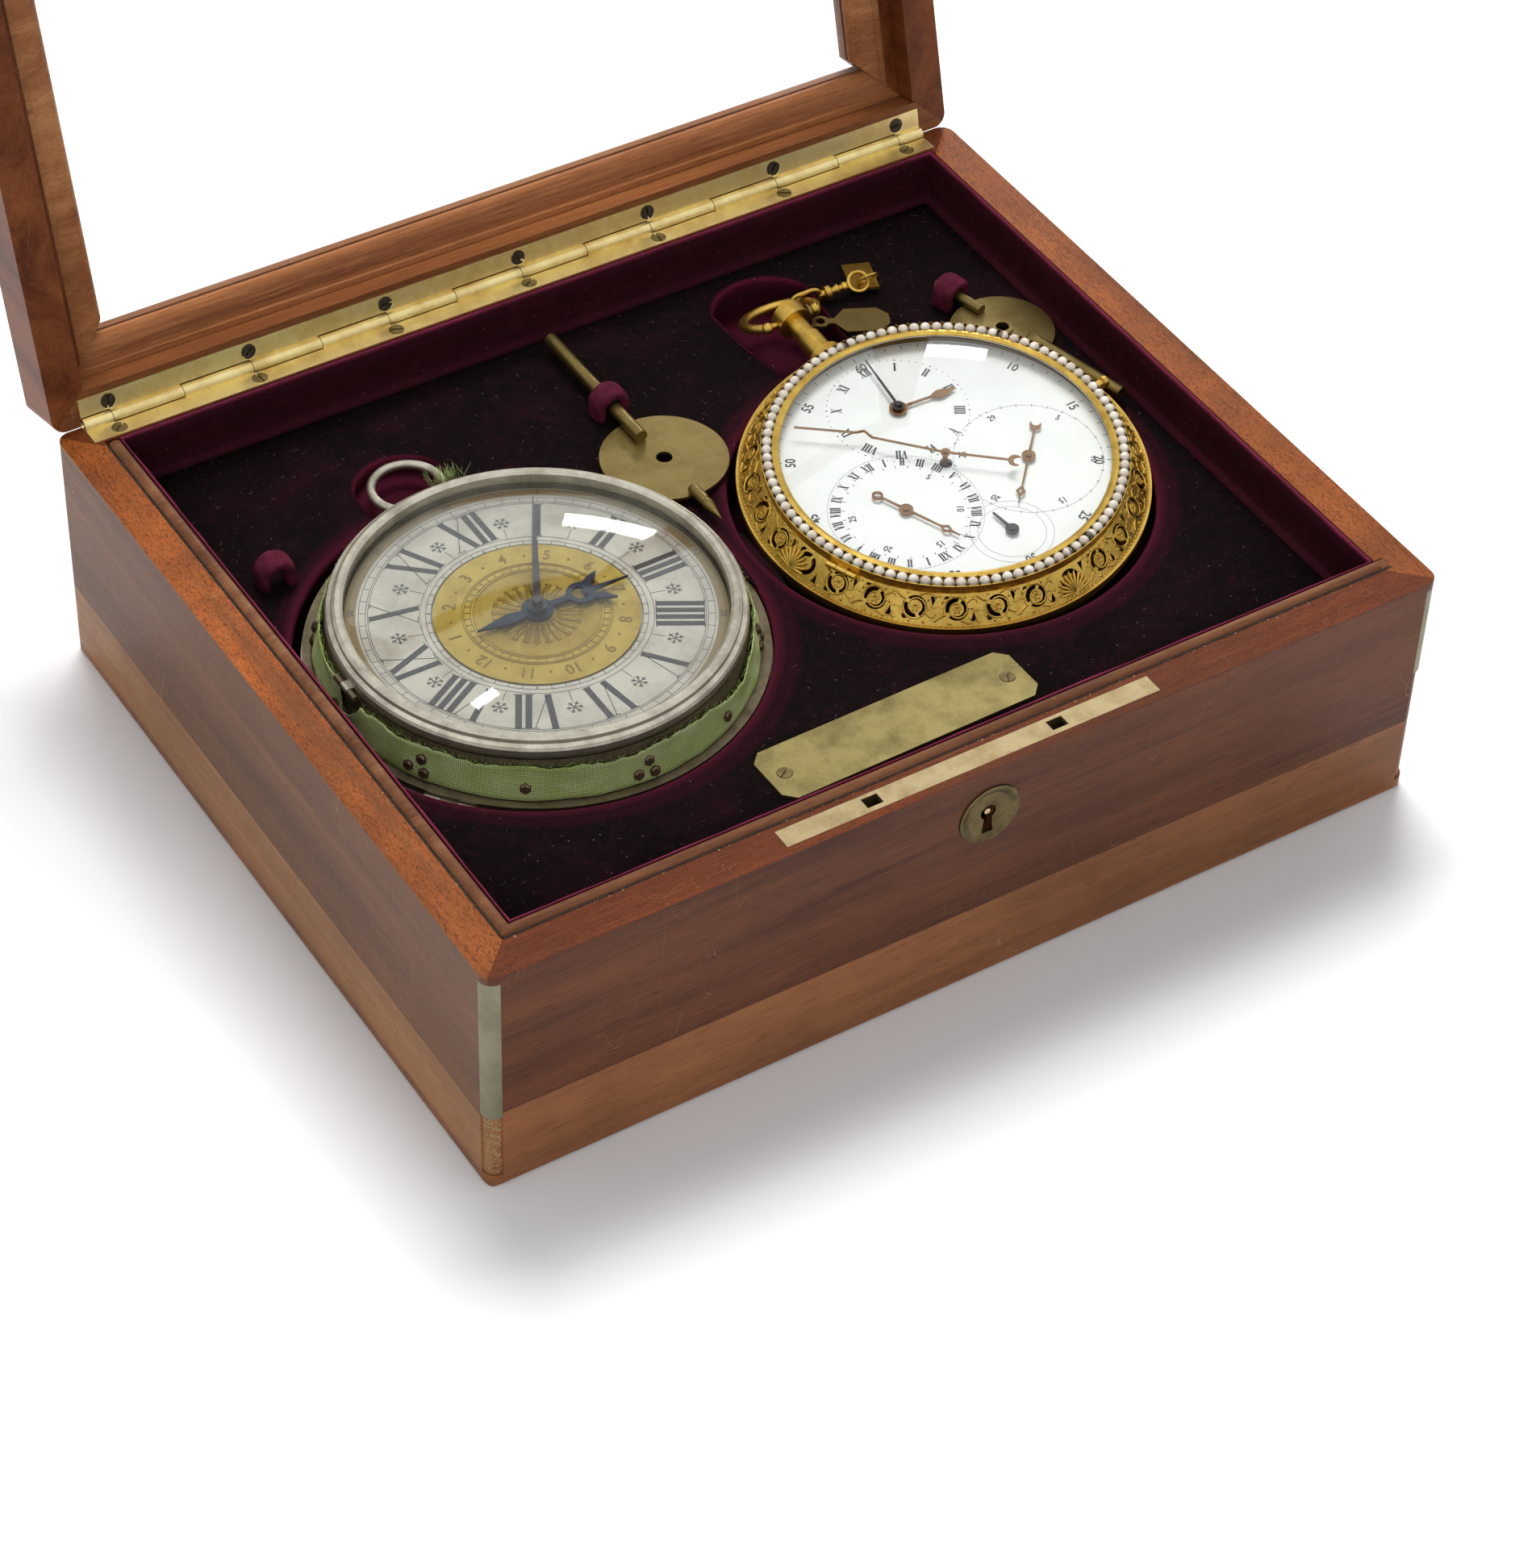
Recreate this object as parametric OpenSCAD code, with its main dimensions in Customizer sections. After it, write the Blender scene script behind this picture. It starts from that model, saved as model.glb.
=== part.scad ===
// Boxed timekeeping set: a mahogany case with a glazed lid, a silver coach
// watch with an alarm, a gilt watch with a pearl-set bezel, and two keys.
// Millimetres. Origin at the bottom centre of the case, +X along the lock
// side, +Y from the lock side to the hinge, +Z up.

/* [Case] */
// Width of the case
case_w = 300; // [290:1:330]
// Depth of the case, front to back
case_d = 244; // [244:1:270]
// Height of the case without its lid
case_h = 78; // [78:1:90]
// Thickness of the front and end boards
wall = 11.2; // [10.8:0.1:11.6]
// Thickness of the back board
back_wall = 8.7; // [8.4:0.1:9]
// Thickness of the base board
base_t = 4; // [3:0.5:6]
// Radius of the upright corners
corner_r = 4.2; // [4:0.1:5]
// Height of the velvet floor above the table
floor_z = 61.3; // [61:0.1:61.6]

/* [Lid] */
// Depth of the lid
lid_h = 20.7; // [20:0.1:24]
// Angle that the lid stands open
lid_open = 105.5; // [0:0.5:105.5]
// Width of the lid's members, seen from outside
sight = 24.7; // [24:0.1:26]
// How much narrower the member beside the hinge is
hinge_side_cut = 4.4; // [4:0.1:5]

/* [Hinge] */
// Length of the long hinge
hinge_len = 281.7; // [280:0.1:282]
// Number of full knuckles
knuckle_count = 12; // [12:2:12]
// Radius of the knuckles
knuckle_r = 2.2; // [2:0.1:2.4]
// Distance between the hinge screws
screw_pitch = 44.1; // [43:0.1:44.5]

/* [Silver coach watch] */
// Radius of the case's flange
coach_r = 64.4; // [63:0.1:65]
// Radius of the bezel
coach_bezel_r = 57.6; // [57:0.1:58]
// Radius of the gilt alarm disc
alarm_r = 28.2; // [27:0.1:28.4]
// Direction of the hour hand
coach_hour_a = -1; // [-180:1:180]
// Direction of the minute hand
coach_minute_a = 61.6; // [-180:0.1:180]

/* [Gilt watch] */
// Largest radius of the case
gilt_r = 59; // [58:0.1:59.4]
// Tilt about X
gilt_rx = 4.4; // [0:0.1:5]
// Tilt about Y
gilt_ry = -3.4; // [-4:0.1:0]
// Number of pearls
pearl_count = 97; // [90:1:98]
// Number of pierced cells round the band
cell_count = 30; // [20:1:32]

/* [Hidden] */
$fn = 48;
eps = 0.01;
slip = 0.06;           // running clearance on the radius
gap = 0.3;             // clearance between parts that move apart

half_w = case_w / 2;
half_d = case_d / 2;

// Colours
mahogany = "#6b2f1a";
rim_wood = "#8a3e1c";
velvet = "#3a0a20";
brass = "#c9a94e";
dull_brass = "#8f7d46";
silver = "#a9a49a";
gilt = "#c79a2e";
steel = "#4a4c52";
pearl = "#e8e2d6";
enamel = "#f2f1ec";
clear_glass = [0.8, 0.85, 0.85, 0.3];

// Corner strings: thin metal sheet rolled round the upright corners
string_t = 0.5;
string_top = 75.5;
string_low = [26, 45];     // lower end of the left string and of the right one

// Hinge axis, on the plane between the rim and the lid
lid_gap = 0.3;
lid_z = case_h + lid_gap;
hinge_y = half_d;
hinge_z = case_h + lid_gap / 2;
pin_r = 1;
bore_r = pin_r + slip;
leaf_t = 1.2;
leaf_y = [114, 119.5];
leaf_x = -0.45;            // centre of the hinge along the case
groove_r = knuckle_r + gap;
knuckle_len = 22;
end_len = (hinge_len - knuckle_count * knuckle_len) / 2;
screw_y = 117.1;
screw_x = [for (i = [-3 : 3]) i * screw_pitch];
head_r = 2.2;
shank_r = 0.9;
shank_len = 8;

// Lid profile: distances inward from the outer face and up from the rim
lid_flat = 14.7;
lid_step = [11, 8];
glass_low = 12.6;
glass_t = 1.9;
glass_edge = 15;
bead_low = 8;
ledge = 14.6;

// Rim lips: lining strips that stand just above the rim
lip_w = 4.1;
lip_low = floor_z + 0.7;
lip_top = case_h + 0.9;
lip_end_x = 141.5;
skin = 0.6;                // thickness of the velvet on the walls

// Lock
plate_x = [-60, 57.2];
plate_y = [-119.3, -113];
plate_t = 1.4;
hook_x = [-32.1, 26.1];
hook_y = -116;
hook_hole = [4.9, 3.6];
hook_size = [4, 2.8, 8.8];
hook_window = [1.5, 3.4];
lock_x = [-44.5, 37];
lock_y = [-118.8, -113.4];
lock_z = [44, case_h - plate_t];
lock_skin = 0.7;
keyhole_x = 1.7;
keyhole_z = 61.8;
bolt_z = [64.2, 67.6];
bolt_y = [-117.5, -114.5];
tongue_z = [71.2, 73.8];
tongue_len = 4.4;
post_w = 2.1;

// Places of the two watches and their wells
coach_x = -67;
coach_y = -3.7;
coach_well_r = 67.2;
coach_well_z = 25.7;
gilt_x = 64.4;
gilt_y = -6.1;
gilt_z = 66;
gilt_well_r = 62.6;
gilt_well_z = 40;
tray_t = 14;
cup_t = 3;
ring_pocket = [-67.4, 69.4, 14.8];
bow_pocket = [65, 86, 17.5];
pocket_z = 50;

// Heights in the coach watch
cover_rim = [56.6, 58.4];
case_rim = [58.7, 60.4];
band_top = 71.3;
band_r = [60.6, 57.2];
dial_z = 71.2;
coach_hinge_a = 219;
movement_z = [45, 64];
plate_th = 2.2;
great_teeth = 48;
pinion_teeth = 12;
gear_module = 0.8;
gear_z = [48.4, 50];
balance_a = 200;
balance_d = 20;
barrel_a = 130;
fusee_a = 20;
fusee_d = gear_module * (great_teeth + pinion_teeth) / 2;

// Heights in the gilt watch, above its widest circle
gilt_rim = 0.8;
gallery = [[58, 0.8], [51.6, 8.2]];
gilt_bezel_z = 8.6;
pearl_circle = 50.5;
pearl_r = 1.5;
pearl_z = 10.6;
gilt_dial_z = 6.2;
pendant_z = -4;
pendant_hole_y = 80.7;
hour_sub = [-0.2, 23.8];
moon_sub = [21, -11];
date_sub = [-20.2, -10.8];
lever_sub = [1, -32.3];

// ---------- helpers ----------

module at_coach() {
    translate([coach_x, coach_y, 0]) children();
}

module at_gilt() {
    translate([gilt_x, gilt_y, gilt_z]) rotate([gilt_rx, gilt_ry, 0]) children();
}

module open_lid() {
    translate([0, hinge_y, hinge_z]) rotate([-lid_open, 0, 0])
        translate([0, -hinge_y, -hinge_z]) children();
}

module ring_plate(outer, inner, low, high) {
    translate([0, 0, low]) difference() {
        cylinder(r = outer, h = high - low);
        translate([0, 0, -1]) cylinder(r = inner, h = high - low + 2);
    }
}

module box_from(low, high) {
    translate(low) cube(high - low);
}

// Plan of the case; the front corners keep only a quarter circle of radius keep
module case_plan(keep) {
    difference() {
        square([case_w, case_d], center = true);
        for (sx = [-1, 1]) for (sy = [-1, 1])
            translate([sx * half_w, sy * half_d])
                scale_corner(sx, sy, sy < 0 ? keep : corner_r);
    }
}

module scale_corner(sx, sy, keep) {
    mirror([sx < 0 ? 1 : 0, 0]) mirror([0, sy < 0 ? 1 : 0]) difference() {
        translate([-corner_r, -corner_r]) square(corner_r + 1);
        translate([-corner_r, -corner_r]) circle(r = keep);
    }
}

// Wedge between two mitres: side 0 front, 1 right, 2 back, 3 left
module mitre(side, depth, low, high) {
    turned = side % 2 == 1;
    end = (turned ? case_d : case_w) / 2;
    deep = turned ? half_w : half_d;
    translate([0, 0, low]) rotate([0, 0, side * 90]) linear_extrude(high - low)
        polygon([[-end - 1, -deep - 1], [end + 1, -deep - 1],
            [end - depth, -deep + depth], [-end + depth, -deep + depth]]);
}

// ---------- case ----------

module case_shell() {
    difference() {
        union() {
            translate([0, 0, base_t]) linear_extrude(string_top - base_t)
                case_plan(corner_r - string_t - 0.1);
            translate([0, 0, string_top]) linear_extrude(case_h - string_top)
                case_plan(corner_r);
        }
        box_from([-half_w + wall, -half_d + wall, 0],
            [half_w - wall, half_d - back_wall, case_h + 1]);
        box_from([half_w - wall - 1, -half_d + wall - 0.1, lip_low - 0.1],
            [lip_end_x + 0.1, -half_d + wall + lip_w + 0.1, case_h + 1]);
    }
}

module case_board(side, depth) {
    intersection() {
        case_shell();
        mitre(side, depth, base_t - 1, case_h + 1);
    }
}

module base_board() {
    color(mahogany) difference() {
        linear_extrude(base_t - eps) case_plan(corner_r);
        for (sy = [-1, 1]) translate([0, sy * half_d, 0]) rotate([45, 0, 0])
            cube([case_w + 2, 1.2, 1.2], center = true);
        for (sx = [-1, 1]) translate([sx * half_w, 0, 0]) rotate([0, 45, 0])
            cube([1.2, case_d + 2, 1.2], center = true);
    }
}

module keyhole(depth) {
    rotate([90, 0, 0]) linear_extrude(depth) union() {
        circle(r = 2.4);
        polygon([[-1.1, 0], [1.1, 0], [1.7, -7], [-1.7, -7]]);
    }
}

module front_board() {
    color(mahogany) difference() {
        case_board(0, wall + lip_w + 2);
        box_from([plate_x[0] - 0.05, plate_y[0] - 0.05, case_h - plate_t - 0.05],
            [plate_x[1] + 0.05, plate_y[1] + 0.05, case_h + 1]);
        box_from([lock_x[0] - 0.1, lock_y[0] - 0.1, lock_z[0] - 0.1],
            [lock_x[1] + 0.1, lock_y[1] + 0.1, case_h]);
        translate([keyhole_x, -half_d + 1.3, keyhole_z]) rotate([90, 0, 0])
            cylinder(r = 9.6, h = 3);
        translate([keyhole_x, lock_y[0], keyhole_z]) keyhole(4);
    }
}

module hinge_cut() {
    translate([leaf_x, hinge_y, hinge_z]) rotate([0, 90, 0])
        cylinder(r = groove_r, h = hinge_len + 0.4, center = true);
    box_from([leaf_x - hinge_len / 2 - 0.1, leaf_y[0] - 0.1, case_h - leaf_t - 0.05],
        [leaf_x + hinge_len / 2 + 0.1, hinge_y + 1, lid_z + leaf_t + 0.05]);
}

module back_board() {
    color(mahogany) difference() {
        case_board(2, back_wall + 2);
        hinge_cut();
        for (x = screw_x) translate([x, screw_y, case_h - shank_len - 1])
            cylinder(r = shank_r + slip, h = shank_len);
    }
}

module end_boards() {
    color(mahogany) for (side = [1, 3]) case_board(side, wall + 2);
}

module lip(len) {
    translate([-len / 2, 0, lip_low]) cube([len, lip_w, lip_top - lip_w / 2 - lip_low]);
    translate([0, lip_w / 2, lip_top - lip_w / 2]) rotate([0, 90, 0])
        cylinder(r = lip_w / 2, h = len, center = true);
}

module rim_lips() {
    front_x = [-half_w + wall, lip_end_x];
    left_y = [-half_d + wall, half_d - back_wall - 2];
    mitre_far = 12;
    color(rim_wood) {
        difference() {
            translate([(front_x[0] + front_x[1]) / 2, -half_d + wall + 0.05, 0])
                lip(front_x[1] - front_x[0]);
            translate([front_x[0], left_y[0], 0]) linear_extrude(lip_top + 1)
                polygon([[-1, -1 + eps], [-1, mitre_far], [mitre_far, mitre_far + eps]]);
            box_from([half_w - wall - 0.2, -half_d, case_h + 0.1], [half_w, 0, lip_top + 1]);
        }
        difference() {
            translate([-half_w + wall + 0.05, (left_y[0] + left_y[1]) / 2, 0])
                rotate([0, 0, -90]) lip(left_y[1] - left_y[0]);
            translate([front_x[0], left_y[0], 0]) linear_extrude(lip_top + 1)
                polygon([[-1, -1 - eps], [mitre_far, -1 - eps], [mitre_far, mitre_far - eps]]);
        }
    }
}

module corner_strings() {
    color("#b9bca6") for (i = [0, 1]) {
        sx = i == 0 ? -1 : 1;
        translate([sx * (half_w - corner_r), -half_d + corner_r, string_low[i]])
            intersection() {
                ring_plate(corner_r, corner_r - string_t, 0, string_top - string_low[i] - 0.1);
                box_from([sx < 0 ? -corner_r - 1 : 0, -corner_r - 1, -1],
                    [sx < 0 ? 0 : corner_r + 1, 0, case_h]);
            }
    }
}

// ---------- velvet ----------

// Deeper pocket for the pendant and bow, open to the gilt watch's well
module bow_hollow() {
    translate([bow_pocket[0], bow_pocket[1], pocket_z]) cylinder(r = bow_pocket[2], h = case_h);
    box_from([gilt_x - 9, gilt_y, pocket_z], [gilt_x + 9, bow_pocket[1], case_h]);
}

module velvet_tray() {
    color(velvet) difference() {
        box_from([-half_w + wall + 0.1, -half_d + wall + 0.1, floor_z - tray_t],
            [half_w - wall - 0.1, half_d - back_wall - 0.1, floor_z]);
        translate([coach_x, coach_y, 0]) cylinder(r = coach_well_r + cup_t + 0.1, h = case_h);
        translate([gilt_x, gilt_y, 0]) cylinder(r = gilt_well_r + cup_t + 0.1, h = case_h);
        translate([ring_pocket[0], ring_pocket[1], floor_z - 5])
            cylinder(r = ring_pocket[2], h = case_h);
        bow_hollow();
    }
}

module well(r, low) {
    translate([0, 0, low - cup_t]) difference() {
        cylinder(r = r + cup_t, h = floor_z - low + cup_t);
        translate([0, 0, cup_t]) cylinder(r = r, h = case_h);
    }
}

module velvet_wells() {
    color(velvet) {
        difference() {
            translate([coach_x, coach_y, 0]) well(coach_well_r, coach_well_z);
            translate([ring_pocket[0], ring_pocket[1], floor_z - 5])
                cylinder(r = ring_pocket[2], h = case_h);
        }
        difference() {
            translate([gilt_x, gilt_y, 0]) well(gilt_well_r, gilt_well_z);
            bow_hollow();
        }
    }
}

module velvet_walls() {
    low = floor_z + 0.1;
    left = -half_w + wall + lip_w + 0.1;
    right = half_w - wall - 0.1;
    front = -half_d + wall + lip_w + 0.1;
    back = half_d - back_wall - 0.1;
    color("#5c1038") {
        box_from([left, front + skin, low], [left + skin, back - skin, case_h]);
        box_from([right - skin, front + skin, low], [right, back - skin, case_h]);
        box_from([left, front, low], [right, front + skin, case_h]);
        box_from([left, back - skin, low], [right, back, case_h]);
    }
}

// A padded loop over a shaft of radius r whose axis is at height h
module key_loop(r, h) {
    rotate([90, 0, 0]) linear_extrude(loop_w, center = true) difference() {
        union() {
            translate([0, h]) circle(r = r + loop_t);
            translate([-r - loop_t, 0]) square([2 * (r + loop_t), h]);
        }
        translate([0, h]) circle(r = r);
        translate([-r, -1]) square([2 * r, h + 1]);
        translate([-2 * h, -2 * h]) square([4 * h, 2 * h]);
    }
}

key_h = 4.4;               // height of the key shafts above the velvet
key_one_y = 70.9;
key_two_a = 14.2;
key_two = [115, 62];
loop_t = 3;
loop_w = 7.6;

module key_loops() {
    color("#4a0c30") {
        translate([-0.2, key_one_y, floor_z]) key_loop(2.4, key_h);
        translate([key_two[0], key_two[1], floor_z]) rotate([0, 0, key_two_a])
            translate([0, 2.8, 0]) key_loop(2.1, key_h);
        translate([-117.3, 53.4, floor_z]) rotate([0, 0, -5]) key_loop(2.4, key_h);
    }
}

// ---------- label ----------

label_c = [-0.6, -81.4];
label_size = [83, 20, 1];
label_screw = 36.2;
label_a = 1;

module at_label() {
    translate([label_c[0], label_c[1], floor_z]) rotate([0, 0, label_a]) children();
}

module label_plate() {
    cut = 3.2;
    x = label_size[0] / 2;
    y = label_size[1] / 2;
    color(dull_brass) at_label() difference() {
        linear_extrude(label_size[2]) polygon([[-x + cut, -y], [x - cut, -y],
            [x, -y + cut], [x, y - cut], [x - cut, y], [-x + cut, y],
            [-x, y - cut], [-x, -y + cut]]);
        for (sx = [-1, 1]) translate([sx * label_screw, 0, -1]) cylinder(r = 1, h = 3);
        for (sx = [-1, 1]) translate([sx * label_screw, 0, 0.2])
            cylinder(r1 = 1, r2 = 2.4, h = label_size[2] - 0.2 + eps);
    }
}

// ---------- screws and hinge ----------

module screw(head, shank, len) {
    slot = [3 * head, 0.5, 0.5];
    difference() {
        union() {
            translate([0, 0, -0.8]) cylinder(r1 = shank, r2 = head, h = 0.8);
            translate([0, 0, -len]) cylinder(r = shank, h = len - 0.7);
        }
        translate([0, 0, -slot[2] / 2 + eps]) cube(slot, center = true);
    }
}

module case_screws() {
    color(dull_brass) {
        for (i = [0 : 6]) translate([screw_x[i], screw_y, case_h - 0.02])
            rotate([0, 0, 40 + i * 57]) screw(head_r, shank_r, shank_len);
        for (i = [0, 1]) at_label()
            translate([(2 * i - 1) * label_screw, 0, label_size[2] - 0.02])
                rotate([0, 0, 30 + i * 35]) screw(head_r - 0.1, 0.8, 0.95);
    }
}

// Knuckles of one leaf: those whose number has the given parity
function knuckle_span(i) = i == 0 ? [0, end_len]
    : i == knuckle_count + 1 ? [hinge_len - end_len, hinge_len]
    : [end_len + (i - 1) * knuckle_len, end_len + i * knuckle_len];

module hinge_leaf(parity, side) {
    join = 0.1;
    flat_z = side < 0 ? case_h - leaf_t : lid_z;
    start = leaf_x - hinge_len / 2;
    difference() {
        union() {
            box_from([start, leaf_y[0], flat_z],
                [start + hinge_len, leaf_y[1], flat_z + leaf_t]);
            for (i = [parity : 2 : knuckle_count + 1]) {
                span = knuckle_span(i);
                translate([start + span[0] + join, hinge_y, hinge_z]) rotate([0, 90, 0])
                    cylinder(r = knuckle_r, h = span[1] - span[0] - 2 * join);
                box_from([start + span[0] + join, leaf_y[1] - 1, flat_z],
                    [start + span[1] - join, hinge_y - pin_r / 2, flat_z + leaf_t]);
            }
        }
        translate([start - 1, hinge_y, hinge_z]) rotate([0, 90, 0])
            cylinder(r = bore_r, h = hinge_len + 2);
        for (x = screw_x) translate([x, screw_y, flat_z + leaf_t / 2]) {
            cylinder(r = shank_r + slip, h = leaf_t + 1, center = true);
            mirror([0, 0, side < 0 ? 0 : 1]) translate([0, 0, leaf_t / 2 - 0.9])
                cylinder(r1 = shank_r, r2 = head_r + 0.2, h = 0.9 + eps);
        }
    }
}

module base_hinge_leaf() {
    color(brass) hinge_leaf(0, -1);
}

module lid_hinge_leaf() {
    color(brass) open_lid() hinge_leaf(1, 1);
}

module hinge_pin() {
    color(brass) translate([leaf_x, hinge_y, hinge_z]) rotate([0, 90, 0])
        cylinder(r = pin_r, h = hinge_len, center = true);
}

module lid_screws() {
    color(steel) open_lid() for (i = [0 : 6])
        translate([screw_x[i], screw_y, lid_z + 0.02]) rotate([180, 0, 100 + i * 41])
            screw(head_r, shank_r, shank_len);
}

// ---------- lock ----------

module lock_case() {
    inner_y = [lock_y[0] + lock_skin, lock_y[1] - lock_skin];
    color(brass) union() {
        difference() {
            union() {
                box_from([plate_x[0], plate_y[0], lock_z[1]], [plate_x[1], plate_y[1], case_h]);
                box_from([lock_x[0], lock_y[0], lock_z[0]],
                    [lock_x[1], lock_y[1], lock_z[1] + eps]);
            }
            box_from([lock_x[0] + lock_skin, inner_y[0], lock_z[0] + lock_skin],
                [lock_x[1] - lock_skin, inner_y[1], lock_z[1]]);
            for (x = hook_x) translate([x, hook_y, case_h])
                cube([hook_hole[0], hook_hole[1], 3 * plate_t], center = true);
            translate([keyhole_x, inner_y[0] + eps, keyhole_z]) keyhole(2);
        }
        translate([keyhole_x, inner_y[1] + eps, keyhole_z]) rotate([90, 0, 0])
            cylinder(r = 0.9, h = inner_y[1] + half_d - 0.9);
    }
}

module lock_bolt() {
    bar_x = [hook_x[0] - hook_size[0] / 2 - tongue_len - post_w - 0.4,
        hook_x[1] - hook_size[0] / 2 - tongue_len - 0.4];
    color(brass) difference() {
        union() {
            box_from([bar_x[0], bolt_y[0], bolt_z[0]], [bar_x[1], bolt_y[1], bolt_z[1]]);
            for (x = hook_x) {
                root = x - hook_size[0] / 2 - tongue_len - 0.4;
                box_from([root - post_w, bolt_y[0], bolt_z[1] - 1],
                    [root, bolt_y[1], tongue_z[1]]);
                box_from([root - 1, hook_y - 0.5, tongue_z[0]],
                    [root + tongue_len, hook_y + 0.5, tongue_z[1]]);
            }
        }
        for (i = [-1, 1]) translate([keyhole_x + i * 5, hook_y, bolt_z[0]])
            cube([5, 10, 3], center = true);
    }
}

module link_plate() {
    color(brass) open_lid() difference() {
        union() {
            box_from([plate_x[0], plate_y[0], lid_z], [plate_x[1], plate_y[1], lid_z + plate_t]);
            for (x = hook_x) translate([x, hook_y, lid_z - hook_size[2] / 2 + 0.5])
                cube([hook_size[0], hook_size[1], hook_size[2] + 1], center = true);
        }
        for (x = hook_x) translate([x, hook_y, (tongue_z[0] + tongue_z[1]) / 2])
            cube([hook_size[0] + 2, hook_window[0], hook_window[1]], center = true);
    }
}

module escutcheon() {
    color(dull_brass) translate([keyhole_x, -half_d + 1.2, keyhole_z]) difference() {
        rotate([90, 0, 0]) cylinder(r = 9.5, h = 1.6);
        translate([0, -0.7, 0]) rotate([90, 0, 0]) cylinder(r1 = 6.6, r2 = 8.6, h = 1);
        translate([0, 1, 0]) keyhole(4);
    }
}

// ---------- keys ----------

module key_disc(r, hole, teeth) {
    notch = 0.25;
    difference() {
        cylinder(r = r, h = 1);
        translate([0, 0, -1]) cylinder(r = hole, h = 3);
        for (i = [0 : teeth - 1]) rotate([0, 0, i * 360 / teeth]) translate([r, 0, -1])
            rotate([0, 0, 45]) cube([notch, notch, 6], center = true);
    }
}

// A tube lying along Y from y0 to y1, with a square socket in one end
module key_tube(r, y0, y1, socket) {
    translate([0, y0, 0]) rotate([-90, 0, 0]) difference() {
        cylinder(r = r, h = y1 - y0);
        translate([-socket / 2, -socket / 2, socket > 0 ? y1 - y0 - 9 : 0])
            cube([max(socket, eps), max(socket, eps), 10]);
    }
}

module key_one() {
    color(dull_brass) translate([0, 0, floor_z]) union() {
        translate([1.8, 43.4, key_h - 2.6]) key_disc(18.6, 2.4, 120);
        translate([-0.2, 0, key_h]) key_tube(2, 52.8, 104.5, 1.8);
        translate([1.2, 0, key_h - 0.6]) rotate([90, 0, 0])
            translate([0, 0, -27]) rotate_extrude() polygon([[0, 0], [1.5, 0], [1.75, 1],
                [1.75, 6.5], [1.4, 7], [1.4, 7.6], [1.75, 8], [1.6, 9.5], [0, 15.8]]);
    }
}

module key_two() {
    color(dull_brass) translate([key_two[0], key_two[1], floor_z]) rotate([0, 0, key_two_a])
        union() {
            translate([-1.2, -18.8, key_h - 2.2]) difference() {
                union() {
                    key_disc(15.6, 2, 4);
                    cylinder(r = 8, h = 1.4);
                    cylinder(r = 3.2, h = 2);
                }
                translate([0, 0, -1]) cylinder(r = 2, h = 5);
            }
            translate([0, 0, key_h]) key_tube(1.6, -9.5, 8.2, 0);
            translate([0, 0, key_h]) mirror([0, 1, 0]) key_tube(2.2, 30.5, 64, 1.9);
        }
}

// ---------- lid ----------

// Profile of a lid member: x inward from the outer face, y up from the rim
function lid_profile(cut) = let(
        inner = sight - cut, flat = lid_flat - cut, rx = min(lid_step[0], flat - 0.2),
        round_r = 3, cove = 3.4)
    concat([[0, 0], [rx, 0], [rx, lid_step[1]], [flat, lid_step[1]], [flat, ledge],
            [inner, ledge], [inner, lid_h - cove]],
        [for (a = [15 : 15 : 75]) [inner - cove * (1 - cos(a)), lid_h - cove * (1 - sin(a))]],
        [[inner - cove, lid_h], [round_r, lid_h]],
        [for (a = [15 : 15 : 75]) [round_r * (1 - sin(a)), lid_h - round_r * (1 - cos(a))]],
        [[0, lid_h - round_r]]);

function bead_profile(cut) = let(
        inner = sight - cut, flat = lid_flat - cut + 0.05, top = glass_low - 0.05,
        roll = inner - flat - 2)
    concat([[flat, top], [flat, bead_low], [flat + 1.6, bead_low], [flat + 2, bead_low + 0.7]],
        [for (a = [15 : 15 : 90])
            [flat + 2 + roll * sin(a), bead_low + 0.7 + (top - 0.4 - bead_low - 0.7) * (1 - cos(a))]],
        [[inner, top]]);

module lid_member(side, points, depth) {
    turned = side % 2 == 1;
    far = turned ? half_w : half_d;
    long = turned ? case_d : case_w;
    intersection() {
        rotate([0, 0, side * 90]) translate([0, -far, lid_z]) rotate([90, 0, 90])
            linear_extrude(long, center = true) polygon(points);
        mitre(side, depth, lid_z - 1, lid_z + lid_h + 1);
        translate([0, 0, lid_z - 1]) linear_extrude(lid_h + 2) case_plan(corner_r);
    }
}

module lid_front_rail() {
    color(mahogany) open_lid() difference() {
        lid_member(0, lid_profile(0), sight + 1);
        box_from([plate_x[0] - 0.05, plate_y[0] - 0.05, lid_z - 1],
            [plate_x[1] + 0.05, plate_y[1] + 0.05, lid_z + plate_t + 0.05]);
    }
}

module lid_back_rail() {
    color(mahogany) open_lid() difference() {
        lid_member(2, lid_profile(hinge_side_cut), sight + 1);
        hinge_cut();
        for (x = screw_x) translate([x, screw_y, lid_z + 1])
            cylinder(r = shank_r + slip, h = shank_len);
    }
}

module lid_stiles() {
    color(mahogany) open_lid() for (side = [1, 3]) lid_member(side, lid_profile(0), sight + 1);
}

module lid_beads() {
    color(rim_wood) open_lid() for (side = [0 : 3])
        lid_member(side, bead_profile(side == 2 ? hinge_side_cut : 0), sight + 1);
}

module lid_glass() {
    color(clear_glass) open_lid() box_from(
        [-half_w + glass_edge, -half_d + glass_edge, lid_z + glass_low],
        [half_w - glass_edge, half_d - glass_edge + hinge_side_cut, lid_z + glass_low + glass_t]);
}

// ---------- silver coach watch ----------

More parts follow.
